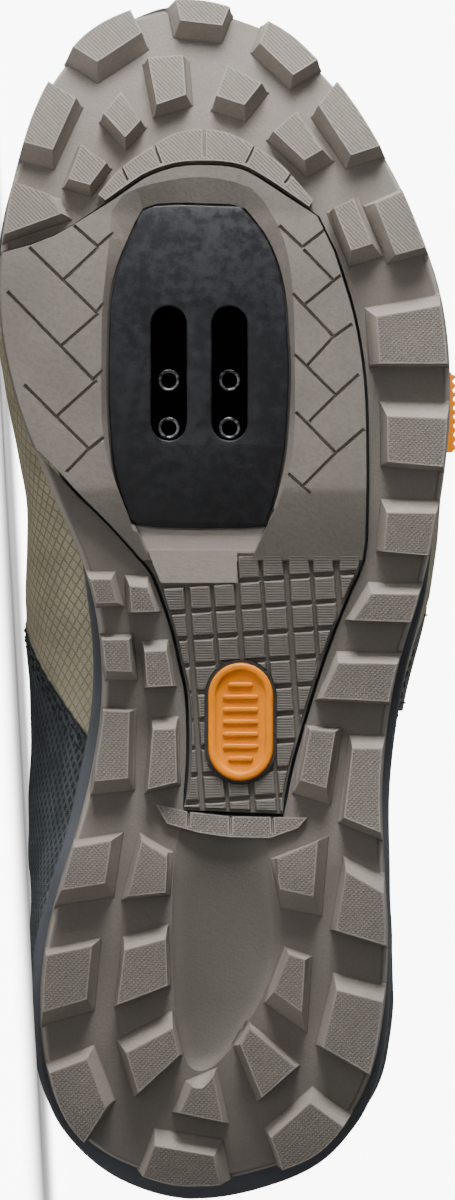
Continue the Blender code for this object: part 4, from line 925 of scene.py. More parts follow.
def weave(surface, u, v, pitch, stretch, low=0.40, high=0.47):
    """Raised diagonal lines: 1 on a line, 0 between them."""
    one = ((u / pitch + v / (pitch * stretch)).part() - 0.5).size()
    two = ((u / pitch - v / (pitch * stretch)).part() - 0.5).size()
    return one.step(low, high).most(two.step(low, high))


def upper_surface(settings):
    """Light ripstop in front, dark knit at the rear, with a film around the toe."""
    front, rear = tuple(settings.front_colour), tuple(settings.rear_colour)
    cloth = Surface("upper_cloth", front, 0.82, specular_ior_level=0.1)
    u, v, _ = cloth.cloth().parts()
    at = cloth.place()
    seam = cloth.value("rear_seam")
    film = cloth.value("toe_film")
    dark = seam.step(-0.0002, 0.0002)
    rand = film.step(-0.0002, 0.0002)
    pitch = settings.weave_pitch
    lines = weave(cloth, u, v, pitch, 0.85)
    knit_lines = weave(cloth, u, v, pitch * 1.05, 0.62, 0.24, 0.38)
    warp = u.ripple(THREAD_PITCH) * 0.5 + 0.5
    weft = v.ripple(THREAD_PITCH) * 0.5 + 0.5
    threads = warp.most(weft)
    blotch = cloth.noise(at, 120.0, 3.0)
    light_tone = cloth.mix(blotch.step(0.3, 0.7), shade(front, 0.88), shade(front, 1.08))
    light_tone = cloth.mix(lines * 0.5, light_tone, shade(front, 0.42))
    light_tone = cloth.mix((1 - threads) * 0.35, light_tone, shade(front, 0.55))
    dark_tone = cloth.mix(blotch.step(0.3, 0.7), shade(rear, 0.75), shade(rear, 1.25))
    dark_tone = cloth.mix((1 - knit_lines) * 0.75, dark_tone, shade(rear, 0.30))
    dark_tone = cloth.mix((1 - threads) * 0.3, dark_tone, shade(rear, 0.45))
    film_tone = cloth.mix(blotch.step(0.3, 0.7), (0.022, 0.023, 0.026), (0.034, 0.035, 0.039))
    tone = cloth.mix(dark, light_tone, dark_tone)
    tone = cloth.mix(rand, tone, film_tone)
    edge = 1 - (seam.size().step(0.0002, 0.0009))
    tone = cloth.mix(edge * (1 - rand) * 0.7, tone, shade(rear, 0.35))
    body = (lines * (1 - dark) + knit_lines * dark) * 0.75 + threads * 0.25
    body = body * (1 - rand * 0.92)
    step = cloth.relief(dark.most(rand), 0.0006, 0.8)
    rough = rand.step(0.0, 1.0, 0.84, 0.48)
    return cloth.dress(base_color=tone, roughness=rough, normal=cloth.relief(body, 0.0006, 0.9, step))


def mesh_surface(name, colour, pitch, gloss=0.88):
    """Knitted spacer mesh with small open cells."""
    knit = Surface(name, colour, gloss, specular_ior_level=0.1)
    at = knit.place()
    x, y, z = at.parts()
    cell = (y.ripple(pitch) + (z + x).ripple(pitch)) * 0.25 + 0.5
    blotch = knit.noise(at, 150.0, 3.0)
    tone = knit.mix(cell.step(0.15, 0.55), shade(colour, 0.35), colour)
    tone = knit.mix(blotch.step(0.3, 0.7) * 0.25, tone, shade(colour, 1.5))
    return knit.dress(base_color=tone, normal=knit.relief(cell.step(0.1, 0.6), 0.0004, 0.7))


def webbing_surface(name, colour, pitch=0.0011, gloss=0.62):
    """Woven strap cloth that follows the strap."""
    web = Surface(name, colour, gloss, specular_ior_level=0.15)
    u, v, _ = web.cloth().parts()
    rib = u.ripple(pitch) * 0.5 + 0.5
    thread = (v + u * 0.5).ripple(pitch * 0.6) * 0.5 + 0.5
    blotch = web.noise(web.place(), 180.0, 3.0)
    tone = web.mix((rib * thread).step(0.1, 0.6), shade(colour, 0.5), shade(colour, 1.35))
    tone = web.mix(blotch.step(0.35, 0.7) * 0.3, tone, shade(colour, 1.8))
    return web.dress(base_color=tone, normal=web.relief(rib * 0.7 + thread * 0.3, 0.0003, 0.7))


def thread_surface(name, colour):
    """Twisted sewing thread."""
    thread = Surface(name, colour, 0.7, specular_ior_level=0.1)
    at = thread.place()
    twist = thread.noise(at, 2500.0, 2.0)
    tone = thread.mix(twist.step(0.3, 0.7), shade(colour, 0.7), shade(colour, 1.3))
    return thread.dress(base_color=tone, normal=thread.relief(twist, 0.0001, 0.6))


def sweep(name, path, outs, profile, closed=False):
    """Carry a profile of (along out, along side) offsets down a path."""
    path, outs = np.asarray(path, float), np.asarray(outs, float)
    if closed:
        along = np.roll(path, -1, 0) - np.roll(path, 1, 0)
    else:
        along = np.gradient(path, axis=0)
    along /= np.linalg.norm(along, axis=1)[:, None]
    outs = outs - along * np.sum(outs * along, 1)[:, None]
    outs /= np.linalg.norm(outs, axis=1)[:, None]
    sides = np.cross(along, outs)
    rows = np.stack([path + outs * a + sides * b for a, b in profile], 1)
    if not closed:
        return loft(name, rows, closed=True, caps=True)
    piece = loft(name, np.concatenate([rows, rows[:1]], 0), closed=True)
    merge_ends(piece, 1e-6)
    return piece


def ring(radius_out, radius_side, count=10):
    turns = 2 * np.pi * np.arange(count) / count
    return [(radius_out * math.cos(turn), radius_side * math.sin(turn)) for turn in turns]


def stitches(name, path, outs, length=0.0022, gap=0.0010, radius=0.00024):
    """Row of short threads along a path, each sunk at its ends."""
    path, outs = np.asarray(path, float), np.asarray(outs, float)
    steps = np.linalg.norm(np.diff(path, axis=0), axis=1)
    travelled = np.concatenate([[0], np.cumsum(steps)])
    count = max(1, int(travelled[-1] / (length + gap)))
    starts = np.arange(count) * (travelled[-1] / count)
    shares = np.array([0.0, 0.15, 0.5, 0.85, 1.0])
    lifts = np.array([-0.6, 0.5, 0.9, 0.5, -0.6]) * radius
    sizes = np.array([0.35, 0.9, 1.0, 0.9, 0.35]) * radius
    rows = []
    for start in starts:
        at = start + shares * length
        middle = np.stack([np.interp(at, travelled, path[:, k]) for k in range(3)], -1)
        out = np.stack([np.interp(at, travelled, outs[:, k]) for k in range(3)], -1)
        out /= np.linalg.norm(out, axis=1)[:, None]
        along = middle[-1] - middle[0]
        along /= np.linalg.norm(along)
        side = np.cross(along, out)
        middle = middle + out * lifts[:, None]
        turns = 2 * np.pi * np.arange(6) / 6
        rows.append(middle[:, None] + sizes[:, None, None] * (
            out[:, None] * np.cos(turns)[None, :, None] + side[:, None] * np.sin(turns)[None, :, None]))
    build = bmesh.new()
    for stitch in rows:
        loops = [[build.verts.new(point) for point in loop] for loop in stitch]
        for near, far in zip(loops, loops[1:]):
            for i in range(6):
                build.faces.new((near[i], near[(i + 1) % 6], far[(i + 1) % 6], far[i]))
        build.faces.new(list(reversed(loops[0])))
        build.faces.new(loops[-1])
    bmesh.ops.recalc_face_normals(build, faces=build.faces)
    mesh = bpy.data.meshes.new(name)
    build.to_mesh(mesh)
    build.free()
    piece = bpy.data.objects.new(name, mesh)
    bpy.context.scene.collection.objects.link(piece)
    return piece


def vee_cutter(name, rows, level, width, depth, above=0.003):
    """Joined tools with a V section along straight cuts on the flat sole."""
    parts = []
    for x0, y0, x1, y1 in rows:
        a, b = np.array([x0, y0]) * 0.001, np.array([x1, y1]) * 0.001
        along = (b - a) / np.linalg.norm(b - a)
        side = np.array([-along[1], along[0]])
        a, b = a - along * width * 0.3, b + along * width * 0.3
        section = []
        for spot in (a, b):
            section.append([(*(spot - side * width * 0.6), level - above),
                            (*(spot + side * width * 0.6), level - above),
                            (*(spot + side * width * 0.5), level),
                            (*(spot + side * width * 0.22), level + depth),
                            (*(spot - side * width * 0.22), level + depth),
                            (*(spot - side * width * 0.5), level)])
        parts.append(loft(name, section, closed=True, caps=True))
    return join(name, parts)


def lug_loops(row):
    """Corners of a lug's worn face and of its wider foot, counterclockwise."""
    ahead, across, long, turn, fore, fore_turn, aft, aft_turn, *slopes = row
    middle = Vector((across * BALL_WIDTH, ahead * SOLE_LENGTH))
    axis = Vector((math.sin(math.radians(turn)), math.cos(math.radians(turn))))
    corners = []
    for sign, wide, more in ((1, fore, fore_turn), (-1, aft, aft_turn)):
        way = math.radians(-(turn + more))
        edge = Vector((math.cos(way), math.sin(way))) * wide * BALL_WIDTH / 2
        end = middle + axis * sign * long * BALL_WIDTH / 2
        corners.append((end + edge, end - edge))
    (fore_medial, fore_lateral), (aft_medial, aft_lateral) = corners
    face = [aft_medial, fore_medial, fore_lateral, aft_lateral]
    runs = [slopes[k] * LUG_HEIGHT for k in (2, 0, 3, 1)]
    foot = []
    for i in range(4):
        before, here, after = face[i - 1], face[i], face[(i + 1) % 4]
        entering, leaving = (here - before).normalized(), (after - here).normalized()
        first, second = Vector((entering.y, -entering.x)), Vector((leaving.y, -leaving.x))
        a, b = runs[i - 1], runs[i]
        crossing = first.x * second.y - first.y * second.x
        if abs(crossing) < 0.05:
            foot.append(here + first * a)
            continue
        foot.append(here + Vector(((a * second.y - b * first.y) / crossing,
                                   (b * first.x - a * second.x) / crossing)))
    area = sum(face[i].x * face[(i + 1) % 4].y - face[(i + 1) % 4].x * face[i].y for i in range(4))
    if area < 0:
        face, foot = face[::-1], foot[::-1]
    return np.array([tuple(p) for p in face]), np.array([tuple(p) for p in foot])


def envelope():
    """Tool in the shape of the outsole's drafted edge."""
    low, high = -0.004, OUTSOLE_TOP + 0.004
    return stack("envelope", [(low, outline(90, draft(low))), (high, outline(90, draft(high)))])


def mark_tread(piece, top, margin, hatch=None):
    """Inset the worn faces and note which hatch they carry."""
    select_only(piece)
    bpy.ops.object.mode_set(mode="EDIT")
    bpy.ops.mesh.select_mode(type="FACE")
    bpy.ops.mesh.select_all(action="DESELECT")
    build = bmesh.from_edit_mesh(piece.data)
    for face in build.faces:
        face.select = face.normal.z < -0.97 and face.calc_center_median().z < top and face.calc_area() > 2e-6
    bmesh.update_edit_mesh(piece.data)
    bpy.ops.mesh.inset(thickness=margin, use_boundary=True, use_even_offset=True)
    build = bmesh.from_edit_mesh(piece.data)
    layer = build.faces.layers.float.new("tread")
    for face in build.faces:
        if face.select:
            face[layer] = hatch or (1.0 if face.calc_center_median().y > 0.78 * SOLE_LENGTH else 2.0)
    bmesh.update_edit_mesh(piece.data)
    bpy.ops.object.mode_set(mode="OBJECT")


class SHOE_OT_outsole(bpy.types.Operator):
    """Lugged rubber outsole with its two strips and the heel scoop"""
    bl_idname = "shoe.outsole"
    bl_label = "Outsole"

    def execute(self, context):
        settings = context.scene.cycling_shoe
        surface = rubber_surface("outsole_rubber", settings, LUG_HEIGHT)
        levels = [(0.0, 0.0), (LUG_HEIGHT - 0.0010, 0.0), (LUG_HEIGHT + 0.0001, 0.0005),
                  (LUG_HEIGHT + 0.0010, 0.0005)]
        lugs = []
        for number, row in enumerate(LUGS):
            face, foot = lug_loops(row)
            loops = []
            for level, flare in levels:
                share = level / (LUG_HEIGHT + LUG_ROOT)
                loops.append((level, inset_loop(face + (foot - face) * share, -flare)))
            lugs.append(stack("lug_%d" % (number + 1), loops))
        arc = smooth_row(np.array(TOE_STRIP) * 0.001, 30)
        hole = insert_outline(-GROOVE / 2)
        inner = hole[(hole[:, 0] < 0.0290) & (hole[:, 0] > -0.0195) & (hole[:, 1] > 0.8 * SOLE_LENGTH)]
        inner = inner[np.argsort(-inner[:, 0])]
        toe = np.concatenate([arc, inner[::-1]])[::-1]
        heel = (np.array(HEEL_STRIP) * 0.001)[::-1]
        toe_top, heel_top = LUG_HEIGHT - TOE_STRIP_HEIGHT, LUG_HEIGHT - HEEL_STRIP_HEIGHT
        strips = []
        for name, loop, top, flare in (("toe_strip", toe, toe_top, 0.0003),
                                       ("heel_strip", heel, heel_top, 0.0004)):
            wide = inset_loop(loop, -flare)
            strips.append(stack(name, [(top, loop), (LUG_HEIGHT, wide), (LUG_HEIGHT + 0.001, wide)]))
        strips = join("strips", strips)
        cut(strips, vee_cutter("ticks", TOE_TICKS, toe_top, 0.0007, 0.0012))
        cut(strips, vee_cutter("ticks", HEEL_TICKS, heel_top, 0.0007, 0.0010))
        tread = join("tread", lugs)
        cut(tread, envelope(), "INTERSECT")
        round_edges(tread, settings.lug_edge)
        mark_tread(tread, 0.0006, 0.0003)
        round_edges(strips, 0.0002)
        mark_tread(strips, 0.0048, 0.0003)
        rim = [(LUG_HEIGHT, draft(LUG_HEIGHT) + 0.0014), (LUG_HEIGHT + 0.0005, draft(LUG_HEIGHT) + 0.0009),
               (LUG_HEIGHT + 0.0013, draft(LUG_HEIGHT) + 0.0002), (OUTSOLE_TOP, draft(OUTSOLE_TOP))]
        slab = stack("slab", [(level, outline(100, inset)) for level, inset in rim])
        cut(slab, stack("hole", [(-0.004, hole), (OUTSOLE_TOP + 0.004, hole)]))
        bowl = []
        for ahead, medial, lateral, deep in smooth_row(SCOOP, 60):
            turns = np.linspace(0, np.pi, 33)
            across = (medial + lateral) / 2 + (medial - lateral) / 2 * np.cos(turns)
            level = -1.0 + (LUG_HEIGHT * 1000 + deep + 1.0) * np.sin(turns) ** 0.42
            section = [(x * 0.001, ahead * 0.001, z * 0.001) for x, z in zip(across, level)]
            bowl.append(section)
        bowl = loft("scoop", bowl, closed=True, caps=True)
        spare = bowl.copy()
        spare.data = bowl.data.copy()
        context.scene.collection.objects.link(spare)
        cut(slab, bowl)
        cut(tread, spare)
        piece = join("outsole_rubber", [slab, tread, strips])
        slice_along(piece, np.arange(0.004, 0.276, SLICE))
        settle(piece, [surface], ["outsole"], flat=True, angle=19)
        return {"FINISHED"}


class SHOE_OT_insert(bpy.types.Operator):
    """Central insert with cut pads, plate recess and small arch blocks"""
    bl_idname = "shoe.insert"
    bl_label = "Central Insert"

    def execute(self, context):
        settings = context.scene.cycling_shoe
        floor = LUG_HEIGHT - ARCH_FLOOR + 0.0010
        surface = rubber_surface("insert_rubber", settings, floor, 0.69, 0.12, 1000.0, True)
        edge = insert_outline(GROOVE / 2 + 0.0001)
        edge[:, 1] -= 0.0006 * ease(edge[:, 1], 0.222, 0.232)
        body = stack("insert", [(PAD_DROP, edge), (OUTSOLE_TOP, edge)])
        cut(body, envelope(), "INTERSECT")
        reach = 0.09
        profile = [(0.1632, -0.003), (0.1632, PAD_DROP - 0.0001), (0.1453, LUG_HEIGHT - ARCH_FLOOR),
                   (0.1445, floor), (0.07, floor), (0.07, -0.003)]
        arch = [[(x, y, z) for y, z in profile] for x in (-reach, reach)]
        cut(body, loft("arch", arch, closed=True, caps=True))
        deep = PLATE_DROP + PLATE_THICKNESS + JOINT_GAP
        wide = np.array(RECESS_EDGE[::-1]) * 0.001
        wide = smooth_row(np.vstack([wide, wide[:1]]), 61)[:-1]
        near = plate_outline(-0.0005)
        # The two loops are matched by their direction from the plate's middle.
        middle = near.mean(0)
        turns = np.linspace(-np.pi, np.pi, 73)[:-1]
        loops = []
        for loop in (wide, near):
            angle = np.arctan2(loop[:, 1] - middle[1], loop[:, 0] - middle[0])
            order = np.argsort(angle)
            at = np.concatenate([angle[order] - 2 * np.pi, angle[order], angle[order] + 2 * np.pi])
            spots = np.vstack([loop[order]] * 3)
            loops.append(np.stack([np.interp(turns, at, spots[:, k]) for k in range(2)], -1))
        outer, inner = loops
        cut(body, stack("recess", [(-0.003, outer), (PAD_DROP - 0.0001, outer), (PLATE_DROP + 0.0003, inner),
                                   (deep, inner)]))
        ramp = np.array([(22.6, 157.0), (-10.7, 157.0), (-2.8, 139.4), (15.4, 139.4)]) * 0.001
        block_top = LUG_HEIGHT - ARCH_FLOOR - 0.0001
        tool = stack("ramp", [(-0.003, inset_loop(ramp, -0.0012)), (PAD_DROP, inset_loop(ramp, -0.0010)),
                              (block_top, ramp)])
        spots = positions(tool)
        spots[(spots[:, 2] > 0.003) & (spots[:, 1] > 0.150), 2] += 0.0011
        place_corners(tool, spots)
        cut(body, tool)
        # The lower end of the ramp stands out of the arch's floor.
        foot = np.array([(18.4, 147.6), (-6.2, 147.6), (-6.0, 146.9), (-2.2, 146.9), (-2.2, 140.1),
                         (15.5, 140.1)]) * 0.001
        foot = stack("ramp_foot", [(block_top - 0.00001, foot), (block_top + 0.0030, foot)])
        round_edges(body, 0.0003, 24)
        cut(body, vee_cutter("cuts", PAD_CUTS, PAD_DROP, settings.cut_width, 0.0008), crossing=True)
        pitch = settings.block_pitch
        turn = math.radians(-4.2)
        ahead = np.array([-math.sin(turn), math.cos(turn)])
        aside = np.array([math.cos(turn), math.sin(turn)])
        origin = np.array([-0.0021, 0.1404])
        blocks = []
        for i in range(-6, 5):
            for j in range(-9, 1):
                if j == 0 and i >= 0:
                    continue
                near, far = (0.00030, 0.00008) if i % 2 else (0.00008, 0.00030)
                middle = (origin + aside * ((i + 0.5) * pitch + (far - near) / 2)
                          + ahead * (j + 0.5) * pitch * 1.065)
                wide, long = pitch / 2 - (near + far) / 2, pitch * 1.065 / 2 - 0.00015
                loops = []
                for level, shrink in ((block_top, 0.00066), (block_top + 0.0002, 0.00052),
                                      (floor + 0.0004, 0.0)):
                    corners = [middle + aside * sx * (wide - shrink) + ahead * sy * (long - shrink)
                               for sx, sy in ((-1, -1), (1, -1), (1, 1), (-1, 1))]
                    loops.append((level, np.array(corners)))
                blocks.append(stack("block", loops))
        field = join("blocks", blocks)
        inner = insert_outline(0.0011)
        cut(field, stack("edge", [(-0.001, inner), (OUTSOLE_TOP, inner)]), "INTERSECT")
        x, y = BADGE_PLACE[1] * BALL_WIDTH, BADGE_PLACE[0] * SOLE_LENGTH
        hole = pill(x, y, BADGE_WIDTH + 0.0018, BADGE_LENGTH + 0.0018)
        cut(field, stack("badge_hole", [(-0.001, hole), (OUTSOLE_TOP, hole)]))
        mark_tread(field, 0.0036, 0.0001, 3.0)
        piece = join("insert_rubber", [body, field, foot])
        slice_along(piece, np.arange(0.088, 0.252, SLICE))
        settle(piece, [surface], ["cleat_zone"], flat=True, angle=9)
        return {"FINISHED"}


class SHOE_OT_plate(bpy.types.Operator):
    """Black cleat plate with two slots, and the floor behind them"""
    bl_idname = "shoe.plate"
    bl_label = "Cleat Plate"

    def execute(self, context):
        settings = context.scene.cycling_shoe
        edge = plate_outline(0.0)
        plate = stack("plate", [(PLATE_DROP, edge), (PLATE_DROP + PLATE_THICKNESS, edge)])
        for side in (1, -1):
            x = SLOT_ACROSS * BALL_WIDTH + side * BOLT_SPACING / 2
            loop = pill(x, SLOT_MIDDLE * SOLE_LENGTH, SLOT_WIDTH, SLOT_LENGTH)
            cut(plate, stack("slot", [(0.0, loop), (LUG_HEIGHT, loop)]))
        round_edges(plate, 0.00045, 40, 3)
        back = stack("back", [(PLATE_DROP + PLATE_THICKNESS + 0.00002, plate_outline(0.003)),
                              (PLATE_DROP + PLATE_THICKNESS + 0.0002, plate_outline(0.003))])
        slice_along(plate, np.arange(0.155, 0.235, SLICE))
        plate.name = "cleat_plate_black"
        settle(plate, [plate_surface(settings)], ["cleat_plate"], flat=True)
        slice_along(back, np.arange(0.155, 0.235, SLICE))
        back.name = "slot_floor"
        pit = Surface("slot_shadow", (0.0006, 0.0006, 0.0006), 0.8, specular_ior_level=0.0)
        grain = pit.noise(pit.place(), 800.0)
        settle(back, [pit.dress(base_color=pit.mix(grain, (0.0003, 0.0003, 0.0003), (0.0009, 0.0009, 0.0009)),
                                roughness=grain.step(0.3, 0.7, 0.55, 0.75))], flat=True)
        return {"FINISHED"}


class SHOE_OT_nuts(bpy.types.Operator):
    """Four threaded nuts that stand in the slots"""
    bl_idname = "shoe.nuts"
    bl_label = "Cleat Nuts"

    def execute(self, context):
        surface = steel_surface()
        low, high = PLATE_DROP + 0.3 * PLATE_THICKNESS, PLATE_DROP + PLATE_THICKNESS
        outer, bore = NUT_DIAMETER / 2, NUT_BORE / 2
        profile = [(outer - 0.0002, low), (outer, low + 0.0002), (outer, high), (bore, high)]
        for k in range(4):
            level = high - (high - low) * (k + 0.5) / 4.5
            profile.append((bore - 0.0001, level))
            profile.append((bore + 0.00022, level - 0.00010))
        profile += [(bore + 0.0001, low + 0.0001), (bore + 0.0003, low)]
        number = 1
        for side in (1, -1):
            for end in (1, -1):
                x = SLOT_ACROSS * BALL_WIDTH + side * BOLT_SPACING / 2
                y = SLOT_MIDDLE * SOLE_LENGTH - BOLT_SETBACK + end * BOLT_PITCH / 2
                turns = 2 * np.pi * np.arange(49) / 48
                rows = [[(x + radius * math.cos(turn), y + radius * math.sin(turn), level)
                         for radius, level in profile] for turn in turns]
                nut = loft("nut_%d" % number, rows, closed=True)
                merge_ends(nut, 1e-7)
                settle(nut, [surface], ["cleat_nut_%d" % number], flat=True, angle=30)
                number += 1
        return {"FINISHED"}


class SHOE_OT_badge(bpy.types.Operator):
    """Plain amber insert in the arch with a raised rim and cross ribs"""
    bl_idname = "shoe.badge"
    bl_label = "Arch Insert"

    def execute(self, context):
        settings = context.scene.cycling_shoe
        x, y = BADGE_PLACE[1] * BALL_WIDTH, BADGE_PLACE[0] * SOLE_LENGTH
        face = LUG_HEIGHT - ARCH_FLOOR - JOINT_GAP
        low = face - BADGE_HEIGHT
        levels = [(low + 0.0007, 0.0020), (low + 0.0006, 0.0019), (low, 0.0015), (low, 0.0004),
                  (low + 0.0004, 0.0), (face, 0.0)]
        body = stack("badge", [(level, pill(x, y, BADGE_WIDTH - 2 * shrink, BADGE_LENGTH - 2 * shrink, 20))
                               for level, shrink in levels])
        ribs = [body]
        for k in range(-3, 4):
            wide = BADGE_WIDTH / 2 - 0.0034 - (0.0012 if abs(k) == 3 else 0.0)
            bar = pill(0, 0, 0.0012, 2 * wide, 6)
            bar = np.stack([x - bar[:, 1], bar[:, 0] + y + k * 0.0028], -1)
            ribs.append(stack("rib", [(low + 0.00015, inset_loop(bar, 0.00022)), (low + 0.0003, bar),
                                      (low + 0.0009, bar)]))
        piece = join("arch_insert_amber", ribs)
        round_edges(piece, 0.0001, 40, 1)
        slice_along(piece, np.arange(0.096, 0.122, 0.003))
        settle(piece, [amber_surface("amber_insert", settings)], ["arch_badge"], flat=True)
        # A near-black ring at the bottom of the gap around the insert: painted shadow.
        around = pill(x, y, BADGE_WIDTH + 0.0013, BADGE_LENGTH + 0.0013, 20)
        gap_shade_ring = stack("gap_shade_ring", [(face - 0.0004, around), (face + 0.0012, around)])
        gap_shade_ring.name = "arch_insert_gap_shade"
        slice_along(gap_shade_ring, np.arange(0.094, 0.124, 0.003))
        settle(gap_shade_ring, [gap_shadow_surface(settings)], (), flat=True)
        return {"FINISHED"}


def gap_shadow_surface(settings):
    """Near-black painted shadow in the gap around the arch insert."""
    dark = Surface("painted_gap_shadow", (0.012, 0.010, 0.009), 0.7)
    grain = dark.noise(dark.place(), 1500.0, 2.0)
    tone = dark.mix(grain.step(0.3, 0.7), (0.008, 0.007, 0.006), (0.018, 0.016, 0.014))
    return dark.dress(base_color=tone, normal=dark.relief(grain, 0.00005, 0.5))


class SHOE_OT_midsole(bpy.types.Operator):
    """Foam midsole with ribs around its side"""
    bl_idname = "shoe.midsole"
    bl_label = "Midsole"

    def execute(self, context):
        settings = context.scene.cycling_shoe
        base = OUTSOLE_TOP + JOINT_GAP
        levels = ((0.0, 0.7), (0.05, 0.25), (0.12, 0.0), (0.33, 0.0), (0.375, 0.3), (0.42, 1.0), (0.46, 0.3),
                  (0.50, 0.0), (0.76, 0.0), (0.81, 0.3), (0.86, 1.0), (0.95, 1.0), (1.0, 1.15))
        rows = []
        for share, inwards in levels:
            loop = outline(110, inwards * MIDSOLE_RIB, True)
            level = base + share * midsole_thickness(loop[:, 1])
            rows.append(np.column_stack([loop, level]))
        piece = loft("midsole_grey", rows, closed=True, caps=True)
        slice_along(piece, np.arange(0.004, 0.276, 0.006))
        settle(piece, [foam_surface(settings)], ["midsole"], flat=True, angle=50)
        return {"FINISHED"}


def upper_grid(columns, rows):
    """Places on the upper's outer face, all round: share from heel to toe, side and height."""
    around = np.concatenate([np.arange(columns + 1), np.arange(columns - 1, 0, -1)]) / columns
    side = np.concatenate([np.ones(columns + 1), -np.ones(columns - 1)])
    up = np.arange(rows + 1) / rows
    grid_around, grid_up = np.meshgrid(around, up)
    grid_side = np.broadcast_to(side, grid_around.shape)
    return grid_around, grid_side, grid_up


class SHOE_OT_upper(bpy.types.Operator):
    """Hollow upper with its panels, creases, lining, bindings and stitches"""
    bl_idname = "shoe.upper"
    bl_label = "Upper"

    def execute(self, context):
        settings = context.scene.cycling_shoe
        around, side, up = upper_grid(150, 60)
        spots = upper_point(around, side, up)
        normals = upper_normal(around, side, up)
        closed = np.concatenate([spots, spots[:, :1]], 1)
        along = np.linalg.norm(np.diff(closed, axis=1), axis=2)
        foot = np.concatenate([[0], np.cumsum(along[0])])
        climb = np.concatenate([np.zeros((1, closed.shape[1])),
                                np.cumsum(np.linalg.norm(np.diff(closed, axis=0), axis=2), 0)])
        pattern = np.stack([np.broadcast_to(foot, climb.shape), climb], -1)
        table = np.array(REAR_SEAM)
        seam = np.interp(up, table[:, 0], table[:, 1]) - spots[..., 1]
        height = climb[:, :-1]
        film_top = 0.012 + 0.010 * ease(spots[..., 1], 0.225, 0.262)
        film = np.minimum(film_top - height, (spots[..., 1] - 0.205) * 0.35)
        lift = np.zeros_like(seam)
        for place, width, deep, slant in CREASES:
            line = spots[..., 1] - place - slant * (spots[..., 2] - 0.04) - 0.004 * np.sin(spots[..., 0] * 90)
            lift -= deep * np.exp(-(line / width) ** 2) * ease(up, 0.25, 0.7) * (1 - ease(up, 0.90, 0.99))
            lift += 0.35 * deep * np.exp(-((line - 1.7 * width) / width) ** 2) * ease(up, 0.25, 0.7) * (
                1 - ease(up, 0.90, 0.99))
        lift += 0.0005 * ease(seam, -0.0008, 0.0008) + 0.0004 * ease(film, -0.0006, 0.0006)
        wave = (np.sin(spots[..., 1] * 310 + spots[..., 2] * 150)
                * np.sin(spots[..., 2] * 260 - spots[..., 1] * 90))
        lift += 0.00012 * wave * ease(up, 0.05, 0.2) * (1 - ease(up, 0.9, 1.0))
        lift *= ease(up, 0.0, 0.05)
        spots = spots + normals * lift[..., None]
        body = loft("upper_fabric", spots, closed=True, pattern=pattern,
                    fields={"rear_seam": seam, "toe_film": film})
        face_away(body, Vector((0.0, 0.13, 0.05)))
        body.data.materials.append(None)
        body.data.materials.append(None)
        finish(body, "SOLIDIFY", thickness=WALL, offset=-1.0, use_even_offset=True, use_rim=True,
               material_offset=1, material_offset_rim=1)
        lining = mesh_surface("lining_mesh", (0.020, 0.021, 0.023), 0.0016)
        settle_keep(body, [upper_surface(settings), lining], ["upper"])

        trim = webbing_surface("binding_cloth", tuple(settings.trim_colour), 0.0008)
        thread = thread_surface("dark_thread", (0.030, 0.032, 0.036))
        ring_around = np.concatenate([np.arange(151), np.arange(149, 0, -1)]) / 150
        ring_side = np.concatenate([np.ones(151), -np.ones(149)])
        rim = upper_point(ring_around, ring_side, 1.0)
        out = upper_normal(ring_around, ring_side, 0.985)
        binding = sweep("rim_binding", rim - out * WALL * 0.5, out, ring(0.0017, 0.0015, 12), closed=True)
        settle(binding, [trim], angle=70)
        path = upper_point(ring_around, ring_side, 0.945)
        outs = upper_normal(ring_around, ring_side, 0.945)
        path, outs = np.vstack([path, path[:1]]), np.vstack([outs, outs[:1]])
        rows = [stitches("rim_stitches", path + outs * 0.0003, outs)]
        for sign in (1, -1):
            for shift in (0.0018, 0.0042):
                levels = np.linspace(0.03, 0.97, 60)
                places = np.interp(levels, table[:, 0], table[:, 1]) - shift
                path = upper_at(places, sign, levels, 0.0004)
                outs = upper_at(places, sign, levels, 0.0014) - path
                rows.append(stitches("seam_stitches", path, outs))
        piece = join("upper_stitches", rows)
        settle(piece, [thread], angle=60)

        # Padding around the collar, inside the wall.
        share = np.linspace(0, 1, 150)
        pad_around = np.abs(share * 2 - 1) * 0.50
        pad_side = np.where(share < 0.5, 1.0, -1.0)
        rows = []
        thick = settings.collar_pad
        for k, turn in enumerate(np.linspace(0, 2 * np.pi, 17)[:-1]):
            deep = thick / 2 * (1 - np.cos(turn)) * (0.25 + 0.75 * ease(0.5 - pad_around, 0.0, 0.10))
            level = 0.80 + 0.175 * np.sin(turn) * (1.0 if np.sin(turn) > 0 else 0.9)
            inner = upper_point(pad_around, pad_side, level) - upper_normal(pad_around, pad_side, level) * (
                WALL + 0.0001 + deep)[:, None]
            rows.append(inner)
        rows = np.array(rows).transpose(1, 0, 2)
        pad = loft("collar_padding", rows, closed=True, caps=True)
        settle(pad, [mesh_surface("collar_mesh", (0.026, 0.028, 0.031), 0.0021)], angle=80)
        return {"FINISHED"}


def settle_keep(piece, surfaces, nodes):
    """Dress a piece whose faces already hold their material numbers."""
    numbers = np.empty(len(piece.data.polygons), dtype=int)
    piece.data.polygons.foreach_get("material_index", numbers)
    settle(piece, surfaces, nodes, angle=60)
    piece.data.polygons.foreach_set("material_index", numbers)
    piece.data.update()


